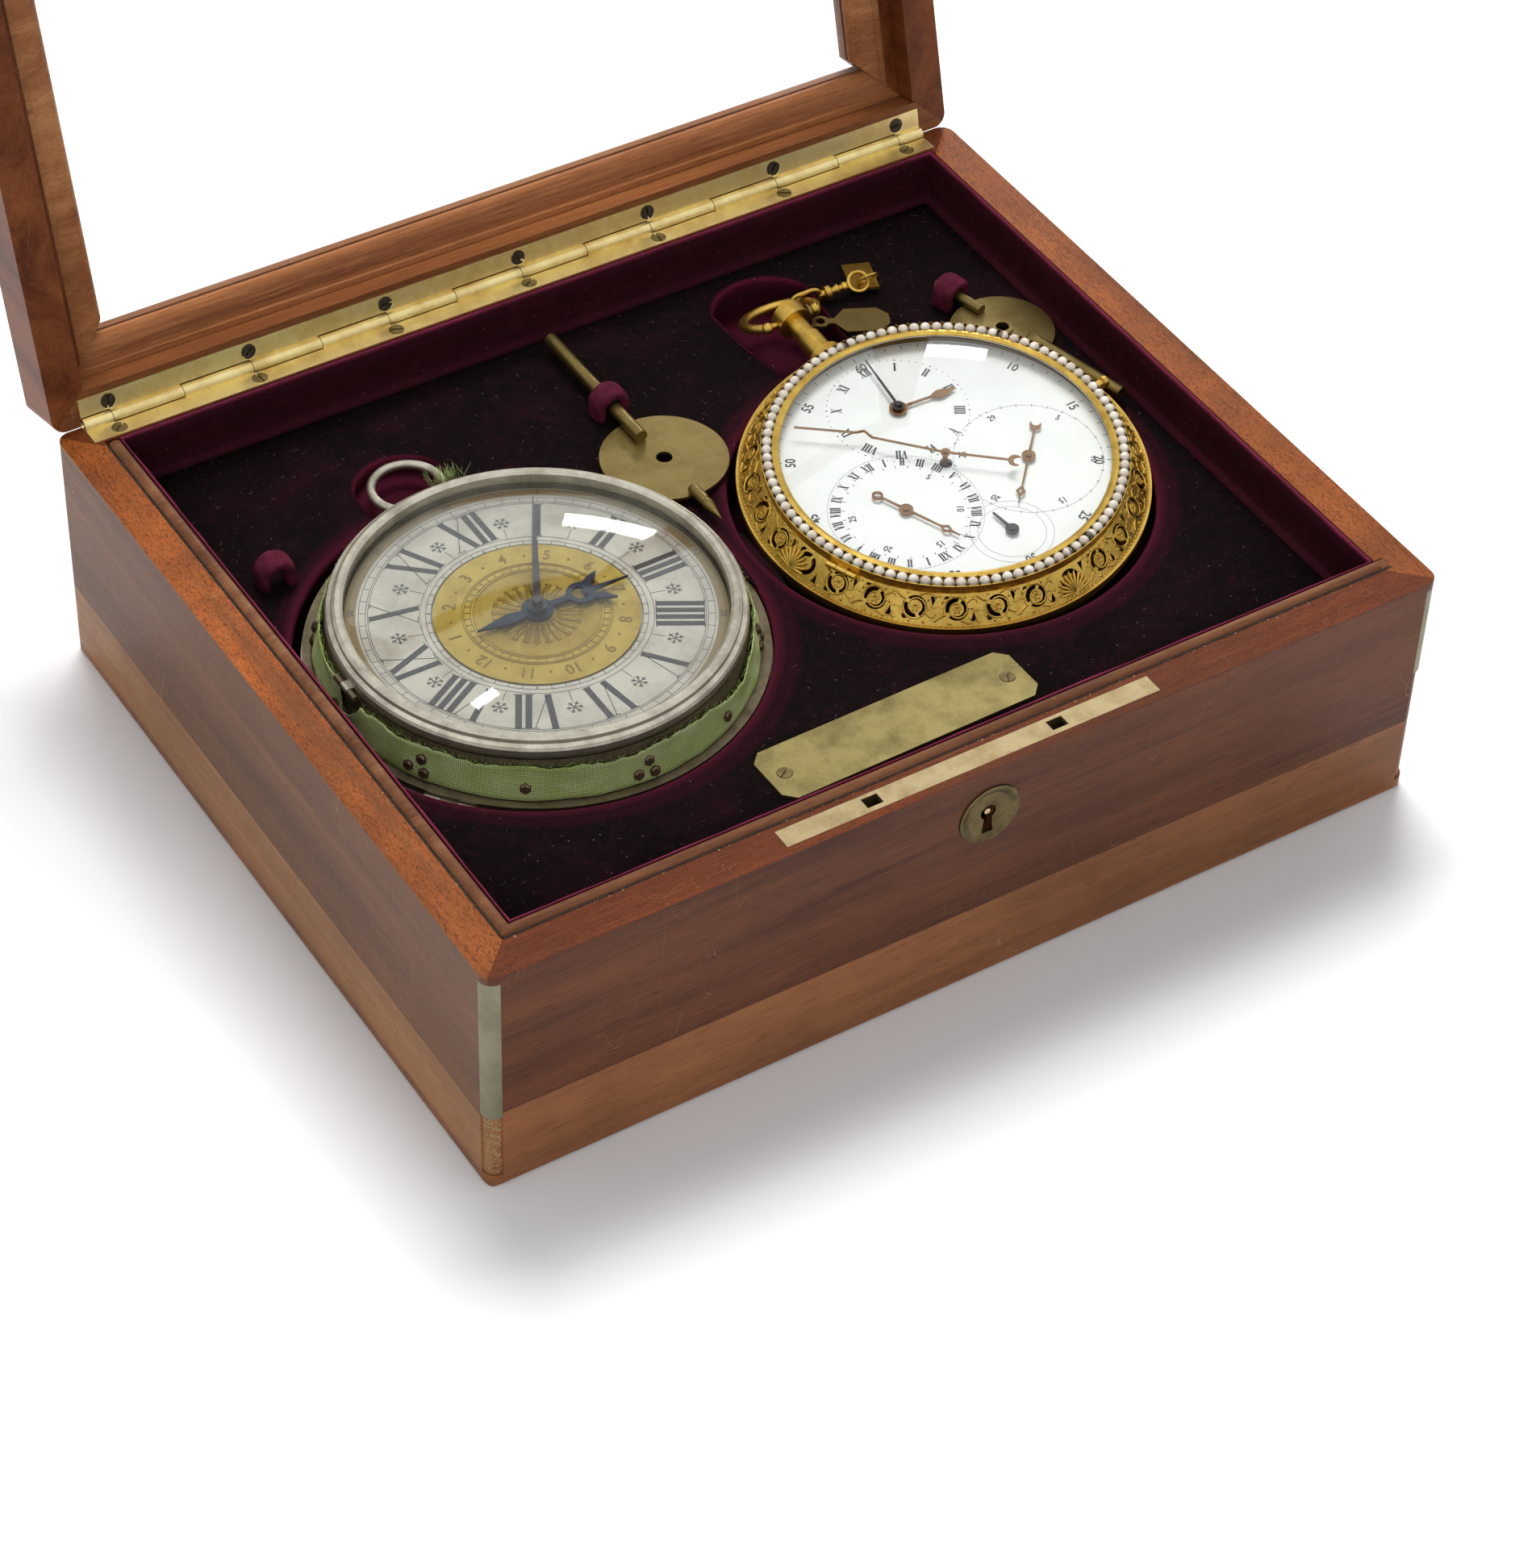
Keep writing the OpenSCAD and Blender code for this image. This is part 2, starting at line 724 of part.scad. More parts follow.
// Section of a bowl wall: outer arc down, inner arc back
function bowl_points(r, z, drop, t) = concat(
    [for (a = [0 : 6 : 72]) [r * cos(a), z - drop * sin(a) / sin(78)]],
    [[r * cos(78), z - drop], [0, z - drop], [0, z - drop + t]],
    [[(r - t) * cos(78), z - drop + t]],
    [for (a = [72 : -6 : 0]) [(r - t) * cos(a), z - (drop - t) * sin(a) / sin(78)]]);

coach_axis_z = (cover_rim[1] + case_rim[0]) / 2;
coach_axis_r = coach_r + 0.5;
knuckle = [1.3, 0.6, 4.6];   // radius, pin radius and length
small_knuckle = [1.1, 0.5, 3.4];
tiny_knuckle = [0.9, 0.4, 3];
coach_bezel_axis = [58.6, 180, 71.5];   // radius, direction and height
gilt_bezel_axis = [53.5, 204, 8.5];

module at_coach_hinge() {
    rotate([0, 0, coach_hinge_a]) translate([coach_axis_r, 0, coach_axis_z]) children();
}

module at_axis(axis) {
    rotate([0, 0, axis[1]]) translate([axis[0], 0, axis[2]]) children();
}

// Knuckles of a small hinge: the outer pair with its pin, or the middle one.
// Each reaches back to its plate by a lug on the side up, +1 above or -1 below.
module outer_knuckles(k, reach, up) {
    for (s = [-1, 1]) translate([0, s * (k[2] + 0.2), 0]) {
        across(k[0], k[2]);
        lug(k, reach, up);
    }
    across(k[1], 3 * k[2] - 1);
}

module middle_knuckle(k, reach, up) {
    difference() {
        union() {
            across(k[0], k[2]);
            lug(k, reach, up);
        }
        across(k[1] + slip, 3 * k[2]);
    }
}

module lug(k, reach, up) {
    low = up > 0 ? 0.2 : -k[0] + 0.1;
    translate([-reach, -k[2] / 2, low]) cube([reach, k[2], k[0] - 0.3]);
}

module across(r, len) {
    rotate([90, 0, 0]) cylinder(r = r, h = len, center = true);
}

module coach_cover() {
    color(silver) at_coach() union() {
        difference() {
            rotate_extrude($fn = 96) polygon(concat([[coach_r, cover_rim[1]],
                [coach_r, cover_rim[0]]], bowl_points(62, cover_rim[0], 28, 1.4),
                [[60.6, cover_rim[1]]]));
            at_coach_hinge() across(knuckle[0] + gap, knuckle[2] + 0.4);
        }
        at_coach_hinge() outer_knuckles(knuckle, 3, -1);
    }
}

module coach_bell() {
    color(brass) at_coach() union() {
        rotate_extrude($fn = 96) polygon(bowl_points(57, 54, 22, 1.2));
        translate([0, 0, 30]) cylinder(r = 2, h = 2.4);
    }
}

module coach_case() {
    inner = 55.4;
    lug_r = [59.8, 65.6];
    color(silver) at_coach() union() {
        difference() {
            rotate_extrude($fn = 96) polygon([[coach_r - 0.3, case_rim[0]],
                [coach_r - 0.3, case_rim[1]], [band_r[0], case_rim[1]], [band_r[1], band_top],
                [53.2, band_top], [53.2, 68.8], [inner, 66], [inner, 60], [59.4, case_rim[0]]]);
            at_coach_hinge() across(knuckle[0] + gap, 3 * knuckle[2] + 1.6);
        }
        at_coach_hinge() middle_knuckle(knuckle, 3, 1);
        at_axis(coach_bezel_axis) outer_knuckles(small_knuckle, 2.6, -1);
        difference() {
            box_from([-1.6, lug_r[0], 60.9], [1.6, lug_r[1], 64.4]);
            translate([0, 63.3, 62.6]) rotate([0, 90, 0]) cylinder(r = 1.5, h = 9, center = true);
        }
    }
}

module coach_ribbon() {
    low = 61;
    high = 69.6;
    t = 0.9;
    slope = (band_r[0] - band_r[1]) / (band_top - case_rim[1]);
    in_low = band_r[0] - slope * (low - case_rim[1]) + 0.05;
    in_high = band_r[0] - slope * (high - case_rim[1]) + 0.05;
    color("#6f8f3c") at_coach() difference() {
        rotate_extrude($fn = 96) polygon([[in_low, low], [in_low + t, low],
            [in_high + t, high], [in_high, high]]);
        box_from([-1.9, 50, 60], [1.9, 70, 72]);
        for (a = pin_angles) at_pin(a) cylinder(r = 0.5, h = 6, center = true);
    }
}

// Pins come in threes, with single pins between the groups; none fit behind
// the pendant lug
pin_angles = [for (k = [0 : 5]) for (p = [[206, 63.4], [209.4, 66.4], [210.6, 62.8], [237, 64.2]])
    let(a = (p[0] + k * 60) % 360) if (abs(a - 90) > 3) [a, p[1]]];

module at_pin(a) {
    slope_a = atan2(band_r[0] - band_r[1], band_top - case_rim[1]);
    r = band_r[0] - (band_r[0] - band_r[1]) * (a[1] - case_rim[1]) / (band_top - case_rim[1]);
    rotate([0, 0, a[0]]) translate([r + 1, 0, a[1]]) rotate([0, 90 - slope_a, 0]) children();
}

module ribbon_pins() {
    color("#7a6a58") at_coach() for (a = pin_angles) at_pin(a) {
        translate([0, 0, 0.05]) cylinder(r = 1.65, h = 0.5, $fn = 6);
        translate([0, 0, 0.5]) cylinder(r1 = 1.55, r2 = 0.9, h = 0.4, $fn = 6);
        translate([0, 0, -0.75]) cylinder(r = 0.4, h = 1);
    }
}

module coach_bezel() {
    color(silver) at_coach() union() {
        rotate_extrude($fn = 96) polygon([[55, 71.7], [57.2, 71.9],
            [coach_bezel_r, 73.2], [57.5, 74.6], [57, 75.4], [55.8, 75.8], [55.5, 76.8],
            [54.6, 77.4], [53.3, 77.4], [52.5, 76.8], [52.5, 74.4], [53.4, 73.2], [53.4, 72]]);
        at_axis(coach_bezel_axis) middle_knuckle(small_knuckle, 2.2, 1);
    }
}

module dome(edge_r, low, rise, t) {
    big = (edge_r * edge_r + rise * rise) / (2 * rise);
    intersection() {
        difference() {
            translate([0, 0, low + rise - big]) sphere(r = big, $fn = 128);
            translate([0, 0, low + rise - big]) sphere(r = big - t, $fn = 128);
        }
        translate([0, 0, low - t]) cylinder(r = edge_r, h = rise + 2 * t);
    }
}

module coach_glass() {
    color(clear_glass) at_coach() dome(52.3, 74.6, 9, 1.3);
}

module coach_dial() {
    feet = 2;
    color(silver) at_coach() difference() {
        union() {
            translate([0, 0, 69.3]) cylinder(r = 52.4, h = 1);
            ring_plate(52, alarm_r + 0.4, 70.2, dial_z);
            for (a = [40 : 120 : 280]) rotate([0, 0, a]) translate([44, 0, movement_z[1] + plate_th])
                cylinder(r = feet, h = 69.5 - movement_z[1] - plate_th);
        }
        translate([0, 0, 60]) cylinder(r = 3.6, h = 20);
    }
}

module alarm_disc() {
    color(gilt) at_coach() difference() {
        union() {
            translate([0, 0, 70.5]) cylinder(r = alarm_r, h = 0.9);
            translate([0, 0, 71.3]) cylinder(r = 5, h = 0.6);
        }
        translate([0, 0, 60]) cylinder(r = 2.9 + slip, h = 20);
    }
}

// Outline of a leaf with a pointed tip, from x = 0 to x = len
function leaf_points(len, w) = concat([[0, -w / 8], [len * 0.3, -w / 2]],
    [[len * 0.55, -w / 2.4], [len, 0], [len * 0.55, w / 2.4]], [[len * 0.3, w / 2], [0, w / 8]]);

module coach_hour_hand() {
    tip = 28.3;
    tail = 18.3;
    z = [72.3, 73.1];
    color(steel) at_coach() rotate([0, 0, coach_hour_a]) difference() {
        union() {
            translate([0, 0, z[0]]) cylinder(r = 4.4, h = 0.8);
            translate([0, 0, 66.2]) cylinder(r = 2.9, h = 6.4);
            translate([0, 0, z[0]]) linear_extrude(z[1] - z[0]) union() {
                polygon([[3, -1.2], [10.4, -0.8], [10.4, 0.8], [3, 1.2]]);
                difference() {
                    translate([13.6, 0]) circle(r = 4.2);
                    translate([13.4, 0]) circle(r = 2.5);
                }
                translate([17.6, 0]) polygon([[-3.4, -1], [tip - 17.6, 0], [-3.4, 1]]);
                for (s = [-1, 1]) translate([16.4, s * 2.6]) rotate([0, 0, s * 32])
                    polygon([[-2, -1.3], [3, -1.1], [6.2, 0.2 * s], [3, 1.1], [-2, 1.3]]);
                polygon([[-3, -1.2], [-8, -1.9], [-10.5, -1.6], [-tail, 0], [-10.5, 1.6],
                    [-8, 1.9], [-3, 1.2]]);
            }
        }
        translate([0, 0, 60]) cylinder(r = 1.7 + slip, h = 20);
    }
}

module gear(teeth, m, low, high, root_cut) {
    r = teeth * m / 2;
    half = 90 / teeth;
    translate([0, 0, low]) linear_extrude(high - low) polygon([for (i = [0 : teeth - 1])
        each [for (p = [[-1.05, r - 1.15 * m], [-0.78, r - 0.2 * m], [-0.3, r + 0.75 * m],
            [0.3, r + 0.75 * m], [0.78, r - 0.2 * m], [1.05, r - 1.15 * m]])
            let(a = i * 360 / teeth + p[0] * half) [p[1] * cos(a), p[1] * sin(a)]]]);
}

module coach_minute_hand() {
    tip = 44.6;
    color(steel) at_coach() union() {
        translate([0, 0, movement_z[0] + 0.4]) cylinder(r = 1.7, h = 74.6 - movement_z[0]);
        translate([0, 0, 74.9]) linear_extrude(1.6) square(2.1, center = true);
        rotate([0, 0, fusee_a + 180 / pinion_teeth]) difference() {
            gear(pinion_teeth, gear_module, gear_z[0] - 0.5, gear_z[1] + 0.5);
            translate([0, 0, 40]) cylinder(r = 1.5, h = 20);
        }
        ring_plate(12.6, 10.8, 57, 58.2);
        for (a = [0 : 90 : 270]) rotate([0, 0, a]) box_from([1, -0.8, 57.1], [11.4, 0.8, 58.1]);
        rotate([0, 0, coach_minute_a]) translate([0, 0, 73.9]) linear_extrude(0.7) union() {
            circle(r = 2.7);
            polygon([[0, -1], [8, -1], [tip * 0.55, -0.75], [tip, -0.15], [tip, 0.15],
                [tip * 0.55, 0.75], [8, 1], [0, 1]]);
        }
    }
}

module at_fusee() {
    at_coach() rotate([0, 0, fusee_a]) translate([fusee_d, 0, 0]) children();
}

module at_balance() {
    at_coach() rotate([0, 0, balance_a]) translate([balance_d, 0, 0]) children();
}

module coach_plates() {
    pillar_at = 40;
    low = movement_z[0];
    high = movement_z[1];
    cock_z = 39.2;
    cock_t = 1.4;
    bore = 1.2 + slip;
    color(gilt) difference() {
        union() {
            at_coach() {
                translate([0, 0, low]) cylinder(r = 44, h = plate_th);
                translate([0, 0, high]) cylinder(r = 50, h = plate_th);
                for (a = [70 : 90 : 340]) rotate([0, 0, a])
                    translate([pillar_at, 0, low + plate_th / 2]) cylinder(r = 2.2, h = high - low);
                rotate([0, 0, barrel_a]) translate([24, 0, low + plate_th - 0.1])
                    cylinder(r = 14, h = 9);
            }
            at_balance() {
                box_from([-4, -4, cock_z], [18, 4, cock_z + cock_t]);
                box_from([15, -4, cock_z], [18, 4, low + 0.5]);
                translate([0, 0, cock_z]) cylinder(r = 7, h = cock_t);
            }
        }
        at_coach() translate([0, 0, low - 1]) cylinder(r = 1.7 + slip, h = high);
        at_fusee() translate([0, 0, low - 1]) cylinder(r = bore, h = high);
        at_balance() translate([0, 0, cock_z - 1]) cylinder(r = 0.6 + slip, h = 10);
    }
}

module coach_fusee() {
    turns = 7;
    base = gear_z[1] + 0.5;
    color(brass) at_fusee() union() {
        gear(great_teeth, gear_module, gear_z[0], gear_z[1]);
        translate([0, 0, 45.4]) cylinder(r = 1.2, h = 20);
        translate([0, 0, gear_z[1] - 0.2]) cylinder(r = 17, h = 0.8);
        rotate_extrude() polygon(concat([[0, base]], [for (i = [0 : turns - 1]) each [
            [16 - 1.1 * i, base + i * 1.2], [16 - 1.1 * i, base + i * 1.2 + 0.5],
            [15 - 1.1 * i, base + i * 1.2 + 0.6], [15 - 1.1 * i, base + i * 1.2 + 1.1]]],
            [[0, base + turns * 1.2]]));
    }
}

module coach_balance() {
    color(brass) at_balance() union() {
        ring_plate(12, 10.4, 41.6, 42.8);
        for (a = [0 : 120 : 240]) rotate([0, 0, a]) box_from([0, -0.7, 41.7], [11, 0.7, 42.7]);
        translate([0, 0, 39.4]) cylinder(r = 0.6, h = 7);
    }
}

ring_r = 10.2;
ring_wire = 1.3;

module coach_ring() {
    color(silver) at_coach() translate([0, 63.3 + ring_r, 62.6])
        rotate_extrude($fn = 72) translate([ring_r, 0]) circle(r = ring_wire, $fn = 24);
}

// ---------- gilt watch ----------

gallery_mid = [(gallery[0][0] + gallery[1][0]) / 2, (gallery[0][1] + gallery[1][1]) / 2];
gallery_tilt = atan2(gallery[0][0] - gallery[1][0], gallery[1][1] - gallery[0][1]);

module at_band(a) {
    rotate([0, 0, a]) translate([gallery_mid[0], 0, gallery_mid[1]])
        rotate([0, 90 - gallery_tilt, 0]) rotate([0, 0, 90]) children();
}

// One pierced scroll: a ring broken by its stem, and two leaf gaps beside it
module scroll_cell(side) {
    mirror([0, side, 0]) linear_extrude(7, center = true) union() {
        difference() {
            circle(r = 3.2, $fn = 24);
            circle(r = 1.9, $fn = 24);
            rotate([0, 0, 200]) square([9, 1.2]);
            rotate([0, 0, 60]) square([9, 0.9]);
        }
        polygon([[3.9, -3.4], [5.6, -3.4], [4.6, -0.6]]);
        polygon([[-3.2, 3.6], [-4.4, 1], [-1.8, 3.5]]);
    }
}

module gilt_shell() {
    t = 1.2;
    difference() {
        rotate_extrude($fn = 96) polygon(concat(
            [[gilt_r, gilt_rim], [gilt_r, -1]],
            [for (a = [6 : 6 : 84]) [(gilt_r - 0.4) * cos(a), -1 - 20 * sin(a)]],
            [[0, -21], [0, -21 + t]],
            [for (a = [84 : -6 : 0]) [(gilt_r - 0.4 - t) * cos(a), -1 - (20 - t) * sin(a)]],
            [[gallery[0][0] - t, gilt_rim], [gallery[1][0] - t, gallery[1][1]],
            [49.9, gallery[1][1]], [49.9, gilt_bezel_z - 0.2], [gallery[1][0] + 0.5, gilt_bezel_z - 0.2],
            [gallery[1][0] + 0.5, gallery[1][1] - 0.4], gallery[0]]));
        for (i = [0 : cell_count - 1]) at_band(i * 360 / cell_count) scroll_cell(i % 2);
        translate([0, 50, pendant_z]) rotate([-90, 0, 0]) cylinder(r = 3 + slip, h = 15);
        rotate([0, 0, 6]) translate([50, 0, 3]) rotate([0, 90, 0]) cylinder(r = 1.3, h = 15);
    }
}

module gilt_case() {
    color(gilt) at_gilt() union() {
        gilt_shell();
        at_axis(gilt_bezel_axis) outer_knuckles(tiny_knuckle, 2.4, -1);
    }
}

module gilt_bezel() {
    color(gilt) at_gilt() union() {
        difference() {
            rotate_extrude($fn = 96) polygon([[47, gilt_bezel_z + 1.6], [48.2, gilt_bezel_z],
                [52.1, gilt_bezel_z], [52.4, gilt_bezel_z + 0.8], [52.3, gilt_bezel_z + 2.2],
                [51.4, gilt_bezel_z + 2.6], [49.2, gilt_bezel_z + 2.6], [48, gilt_bezel_z + 2.9],
                [47, gilt_bezel_z + 2.4]]);
            rotate_extrude($fn = 96) translate([pearl_circle, pearl_z])
                circle(r = pearl_r + 0.05, $fn = 24);
        }
        at_axis(gilt_bezel_axis) middle_knuckle(tiny_knuckle, 1.7, 1);
    }
}

module bezel_pearls() {
    color(pearl) at_gilt() for (i = [0 : pearl_count - 1])
        rotate([0, 0, i * 360 / pearl_count]) translate([pearl_circle, 0, pearl_z])
            sphere(r = pearl_r, $fn = 20);
}

module gilt_glass() {
    color(clear_glass) at_gilt() dome(46.9, 10.8, 7.5, 1.1);
}

module enamel_dial() {
    color(enamel) at_gilt() difference() {
        translate([0, 0, gilt_dial_z - 1.2]) cylinder(r = 48.6, h = 1.2);
        for (p = [[0, 0], hour_sub, moon_sub, date_sub, lever_sub])
            translate([p[0], p[1], 0]) cylinder(r = 1.4, h = 10);
        translate([0, -0.6, 0]) cylinder(r = 1.9, h = 10);
        translate([hour_sub[0], hour_sub[1], 0]) cylinder(r = 2.1, h = 10);
    }
}

module slim_hand(len, w0, w1) {
    polygon([[0, -w0 / 2], [len, -w1 / 2], [len, w1 / 2], [0, w0 / 2]]);
}

module plate_at(low, t) {
    translate([0, 0, low]) linear_extrude(t) children();
}

module crescent(r) {
    difference() {
        circle(r = r);
        translate([-r / 2, 0]) circle(r = r * 0.75);
    }
}

module arbor(r, high) {
    translate([0, 0, -6]) cylinder(r = r, h = high + 6);
}

seconds_a = 134;
seconds_z = 9.7;
seconds_path = [[-18, -1.8], [0, 0], [21.3, -0.3], [24, -2.2], [26.1, -1], [43.4, 1.6]];

// A bent wire hand: straight lengths joined by round corners
module bent_hand(path, w) {
    for (i = [0 : len(path) - 2]) {
        d = path[i + 1] - path[i];
        translate(path[i]) rotate([0, 0, atan2(d[1], d[0])]) translate([0, -w / 2])
            square([norm(d), w]);
        translate(path[i]) circle(r = w / 2);
    }
}

module seconds_hand() {
    color(gilt) at_gilt() rotate([0, 0, seconds_a]) union() {
        arbor(0.8, seconds_z + 0.9);
        plate_at(seconds_z, 0.5) union() {
            circle(r = 1.4);
            bent_hand(seconds_path, 0.5);
            translate([-19.6, -1.9]) crescent(2);
        }
    }
}

module gilt_minute_hand() {
    color(steel) at_gilt() translate([hour_sub[0], hour_sub[1], 0]) rotate([0, 0, 84.5]) union() {
        arbor(0.9, 8.6);
        translate([0, 0, 8.3]) linear_extrude(0.9) square(1.5, center = true);
        plate_at(7.9, 0.5) union() {
            circle(r = 1.7);
            slim_hand(20.2, 0.8, 0.3);
        }
    }
}

module gilt_hour_hand() {
    color(gilt) at_gilt() translate([hour_sub[0], hour_sub[1], 0]) rotate([0, 0, -5]) difference() {
        union() {
            arbor(1.9, 7.2);
            plate_at(6.9, 0.5) union() {
                circle(r = 2.6);
                slim_hand(12, 0.8, 0.6);
                translate([10.6, 0]) polygon(leaf_points(8, 3));
            }
        }
        translate([0, 0, -8]) cylinder(r = 0.9 + slip, h = 20);
    }
}

module pointer(p, a, len, tail) {
    diamond = [[-2.2, 0], [0, -1.4], [2.2, 0], [0, 1.4]];
    translate([p[0], p[1], 0]) rotate([0, 0, a]) union() {
        arbor(0.9, 7.9);
        plate_at(7, 0.5) {
            circle(r = 2);
            slim_hand(len - 6.2, 0.7, 0.4);
            translate([len - 4.4, 0]) difference() {
                polygon(diamond);
                polygon(0.55 * diamond);
            }
            translate([len - 2.8, 0]) slim_hand(2.8, 0.5, 0.2);
            mirror([1, 0]) slim_hand(tail, 0.7, 0.5);
            translate([-tail - 1, 0]) children();
        }
    }
}

module moon_hand() {
    color(gilt) at_gilt() pointer(moon_sub, -133, 18.7, 11.4) crescent(1.7);
}

module date_hand() {
    color(gilt) at_gilt() pointer(date_sub, -65, 17.6, 8.4) difference() {
        circle(r = 1.6);
        circle(r = 0.9);
    }
}

module strike_lever() {
    color(steel) at_gilt() translate([lever_sub[0], lever_sub[1], 0]) rotate([0, 0, 98]) union() {
        arbor(0.9, 7.9);
        plate_at(6.9, 0.7) {
            circle(r = 1.9);
            slim_hand(8, 0.9, 0.4);
        }
    }
}

module gilt_plates() {
    plates = [-10, 2];
    t = 1.6;
    color(gilt) at_gilt() difference() {
        union() {
            for (z = plates) translate([0, 0, z]) cylinder(r = 44, h = t);
            for (a = [45 : 90 : 315]) rotate([0, 0, a]) translate([38, 0, plates[0] + t / 2])
                cylinder(r = 2.2, h = plates[1] - plates[0]);
            rotate([0, 0, 200]) translate([24, 0, plates[0] + 1]) cylinder(r = 13, h = 9);
        }
        for (p = [[0, 0], moon_sub, date_sub, lever_sub])
            translate([p[0], p[1], -6.5]) cylinder(r = 0.9 + slip, h = 20);
        translate([hour_sub[0], hour_sub[1], -6.5]) cylinder(r = 1.9 + slip, h = 20);
    }
}

module push_piece() {
    color(gilt) at_gilt() rotate([0, 0, 6]) translate([54.6, 0, 3]) rotate([0, 90, 0]) union() {
        cylinder(r = 1.2, h = 5);
        translate([0, 0, 4.4]) cylinder(r = 1.7, h = 1.4);
    }
}

module gilt_pendant() {
    knurls = 36;
    color(gilt) at_gilt() translate([0, 0, pendant_z]) rotate([-90, 0, 0]) difference() {
        union() {
            translate([0, 0, 55]) cylinder(r = 3, h = 5);
            translate([0, 0, 59.1]) cylinder(r = 5.4, h = 3.4);
            translate([0, 0, 62]) cylinder(r = 3.7, h = 9);
            translate([0, 0, 70.5]) cylinder(r = 3, h = 8);
            translate([0, 0, 78.2]) cylinder(r = 5.2, h = 5);
        }
        for (i = [0 : knurls - 1]) rotate([0, 0, i * 360 / knurls])
            translate([5.4, 0, 60.8]) cube([0.4, 0.4, 5], center = true);
        translate([0, 0, pendant_hole_y]) rotate([0, 90, 0])
            cylinder(r = 0.9 + slip, h = 20, center = true);
    }
}

// Where the bow turns, in the case's own frame
function gilt_world(p) = let(y = p[1] * cos(gilt_rx) - p[2] * sin(gilt_rx),
        z = p[1] * sin(gilt_rx) + p[2] * cos(gilt_rx))
    [gilt_x + p[0] * cos(gilt_ry) + z * sin(gilt_ry), gilt_y + y,
        gilt_z - p[0] * sin(gilt_ry) + z * cos(gilt_ry)];

bow_pivot = gilt_world([0, pendant_hole_y, pendant_z]);
bow_r = 11;
bow_wire = 1.5;
bow_end = 8;
bow_drop = 27;
bow_c = sqrt(bow_r * bow_r - bow_end * bow_end);

module at_bow() {
    translate(bow_pivot) rotate([-bow_drop, gilt_ry, 0]) children();
}

module gilt_bow() {
    color(gilt) at_bow() union() {
        difference() {
            translate([0, bow_c, 0]) rotate_extrude($fn = 72) translate([bow_r, 0])
                circle(r = bow_wire, $fn = 24);
            box_from([-20, -9, -4], [20, 0, 4]);
        }
        for (s = [-1, 1]) {
            translate([s * (bow_end + 0.2), 0, 0]) sphere(r = 1.75, $fn = 24);
            translate([s * (bow_end - 2.1), 0, 0]) rotate([0, 90, 0])
                cylinder(r = 0.9, h = 4.2, center = true);
        }
    }
}

// A point on the bow's wire, in the case's frame
function turn_y(p, a) = [p[0] * cos(a) + p[2] * sin(a), p[1], -p[0] * sin(a) + p[2] * cos(a)];
function bow_point(a) = let(reach = bow_c + bow_r * sin(a)) bow_pivot
    + turn_y([bow_r * cos(a), reach * cos(bow_drop), -reach * sin(bow_drop)], gilt_ry);

hook_on = 22;              // where the hook holds the bow
hook_rise = 7;
hook_dir = -8;
hook_len = 18.5;
loop_len = 4;
loop_r = 2.9;
loop_wire = 0.7;
end_ring = [3, 0.65];
end_ring_roll = 35;
tag_ring = [3, 0.5];

// A point along the hook's axis
function hook_point(d) = bow_point(hook_on) + d * [cos(hook_rise) * cos(hook_dir),
    cos(hook_rise) * sin(hook_dir), sin(hook_rise)];

module at_hook() {
    translate(bow_point(hook_on)) rotate([0, -hook_rise, hook_dir]) children();
}

// A long link: two half rings joined by straight wires, lying in the XY plane
module long_link(r, wire, len) {
    for (s = [-1, 1]) {
        translate([s * len / 2, 0, 0]) rotate([0, 0, -90 * s]) difference() {
            rotate_extrude($fn = 48) translate([r, 0]) circle(r = wire, $fn = 20);
            box_from([-r - 2 * wire, -r - 2 * wire, -2 * wire], [r + 2 * wire, 0, 2 * wire]);
        }
        translate([0, s * r, 0]) rotate([0, 90, 0])
            cylinder(r = wire, h = len + eps, center = true, $fn = 20);
    }
}

module swivel_hook() {
    neck = loop_len / 2 + loop_r;
    color(gilt) at_hook() union() {
        rotate([90, 0, 0]) translate([1.2, 0, 0]) long_link(loop_r, loop_wire, loop_len);
        translate([1.2, 0, 0]) rotate([0, 90, 0]) rotate_extrude() polygon([[0, neck - 0.6],
            [1, neck - 0.4], [1.3, neck + 1], [2.1, neck + 1.6], [2.1, neck + 3],
            [1.3, neck + 3.6], [1.1, neck + 4.2], [1.7, neck + 5.6], [1, neck + 6.1],
            [1, neck + 6.6], [1.5, neck + 7.1], [1.5, neck + 8.2], [0.8, neck + 8.9], [0, neck + 8.9]]);
        translate([hook_len, 0, 0]) rotate([end_ring_roll, 0, 0]) rotate_extrude($fn = 48)
            translate([end_ring[0], 0]) circle(r = end_ring[1], $fn = 20);
    }
}

tag_a = 70;
tag_slope = 6;

module square_tag() {
    far = hook_len + end_ring[0];
    color(gilt) union() {
        at_hook() translate([far, 0, 0]) rotate([end_ring_roll - 90, 0, 0])
            rotate_extrude($fn = 48) translate([tag_ring[0], 0]) circle(r = tag_ring[1], $fn = 20);
        translate(hook_point(far) - [0, 0, tag_ring[0]]) rotate([0, tag_slope, tag_a])
            box_from([-1.5, -3.6, -0.45], [12.6, 5, 0.45]);
    }
}

tag_two = [75.2, 75.4, 61.7];
tag_two_a = -26;

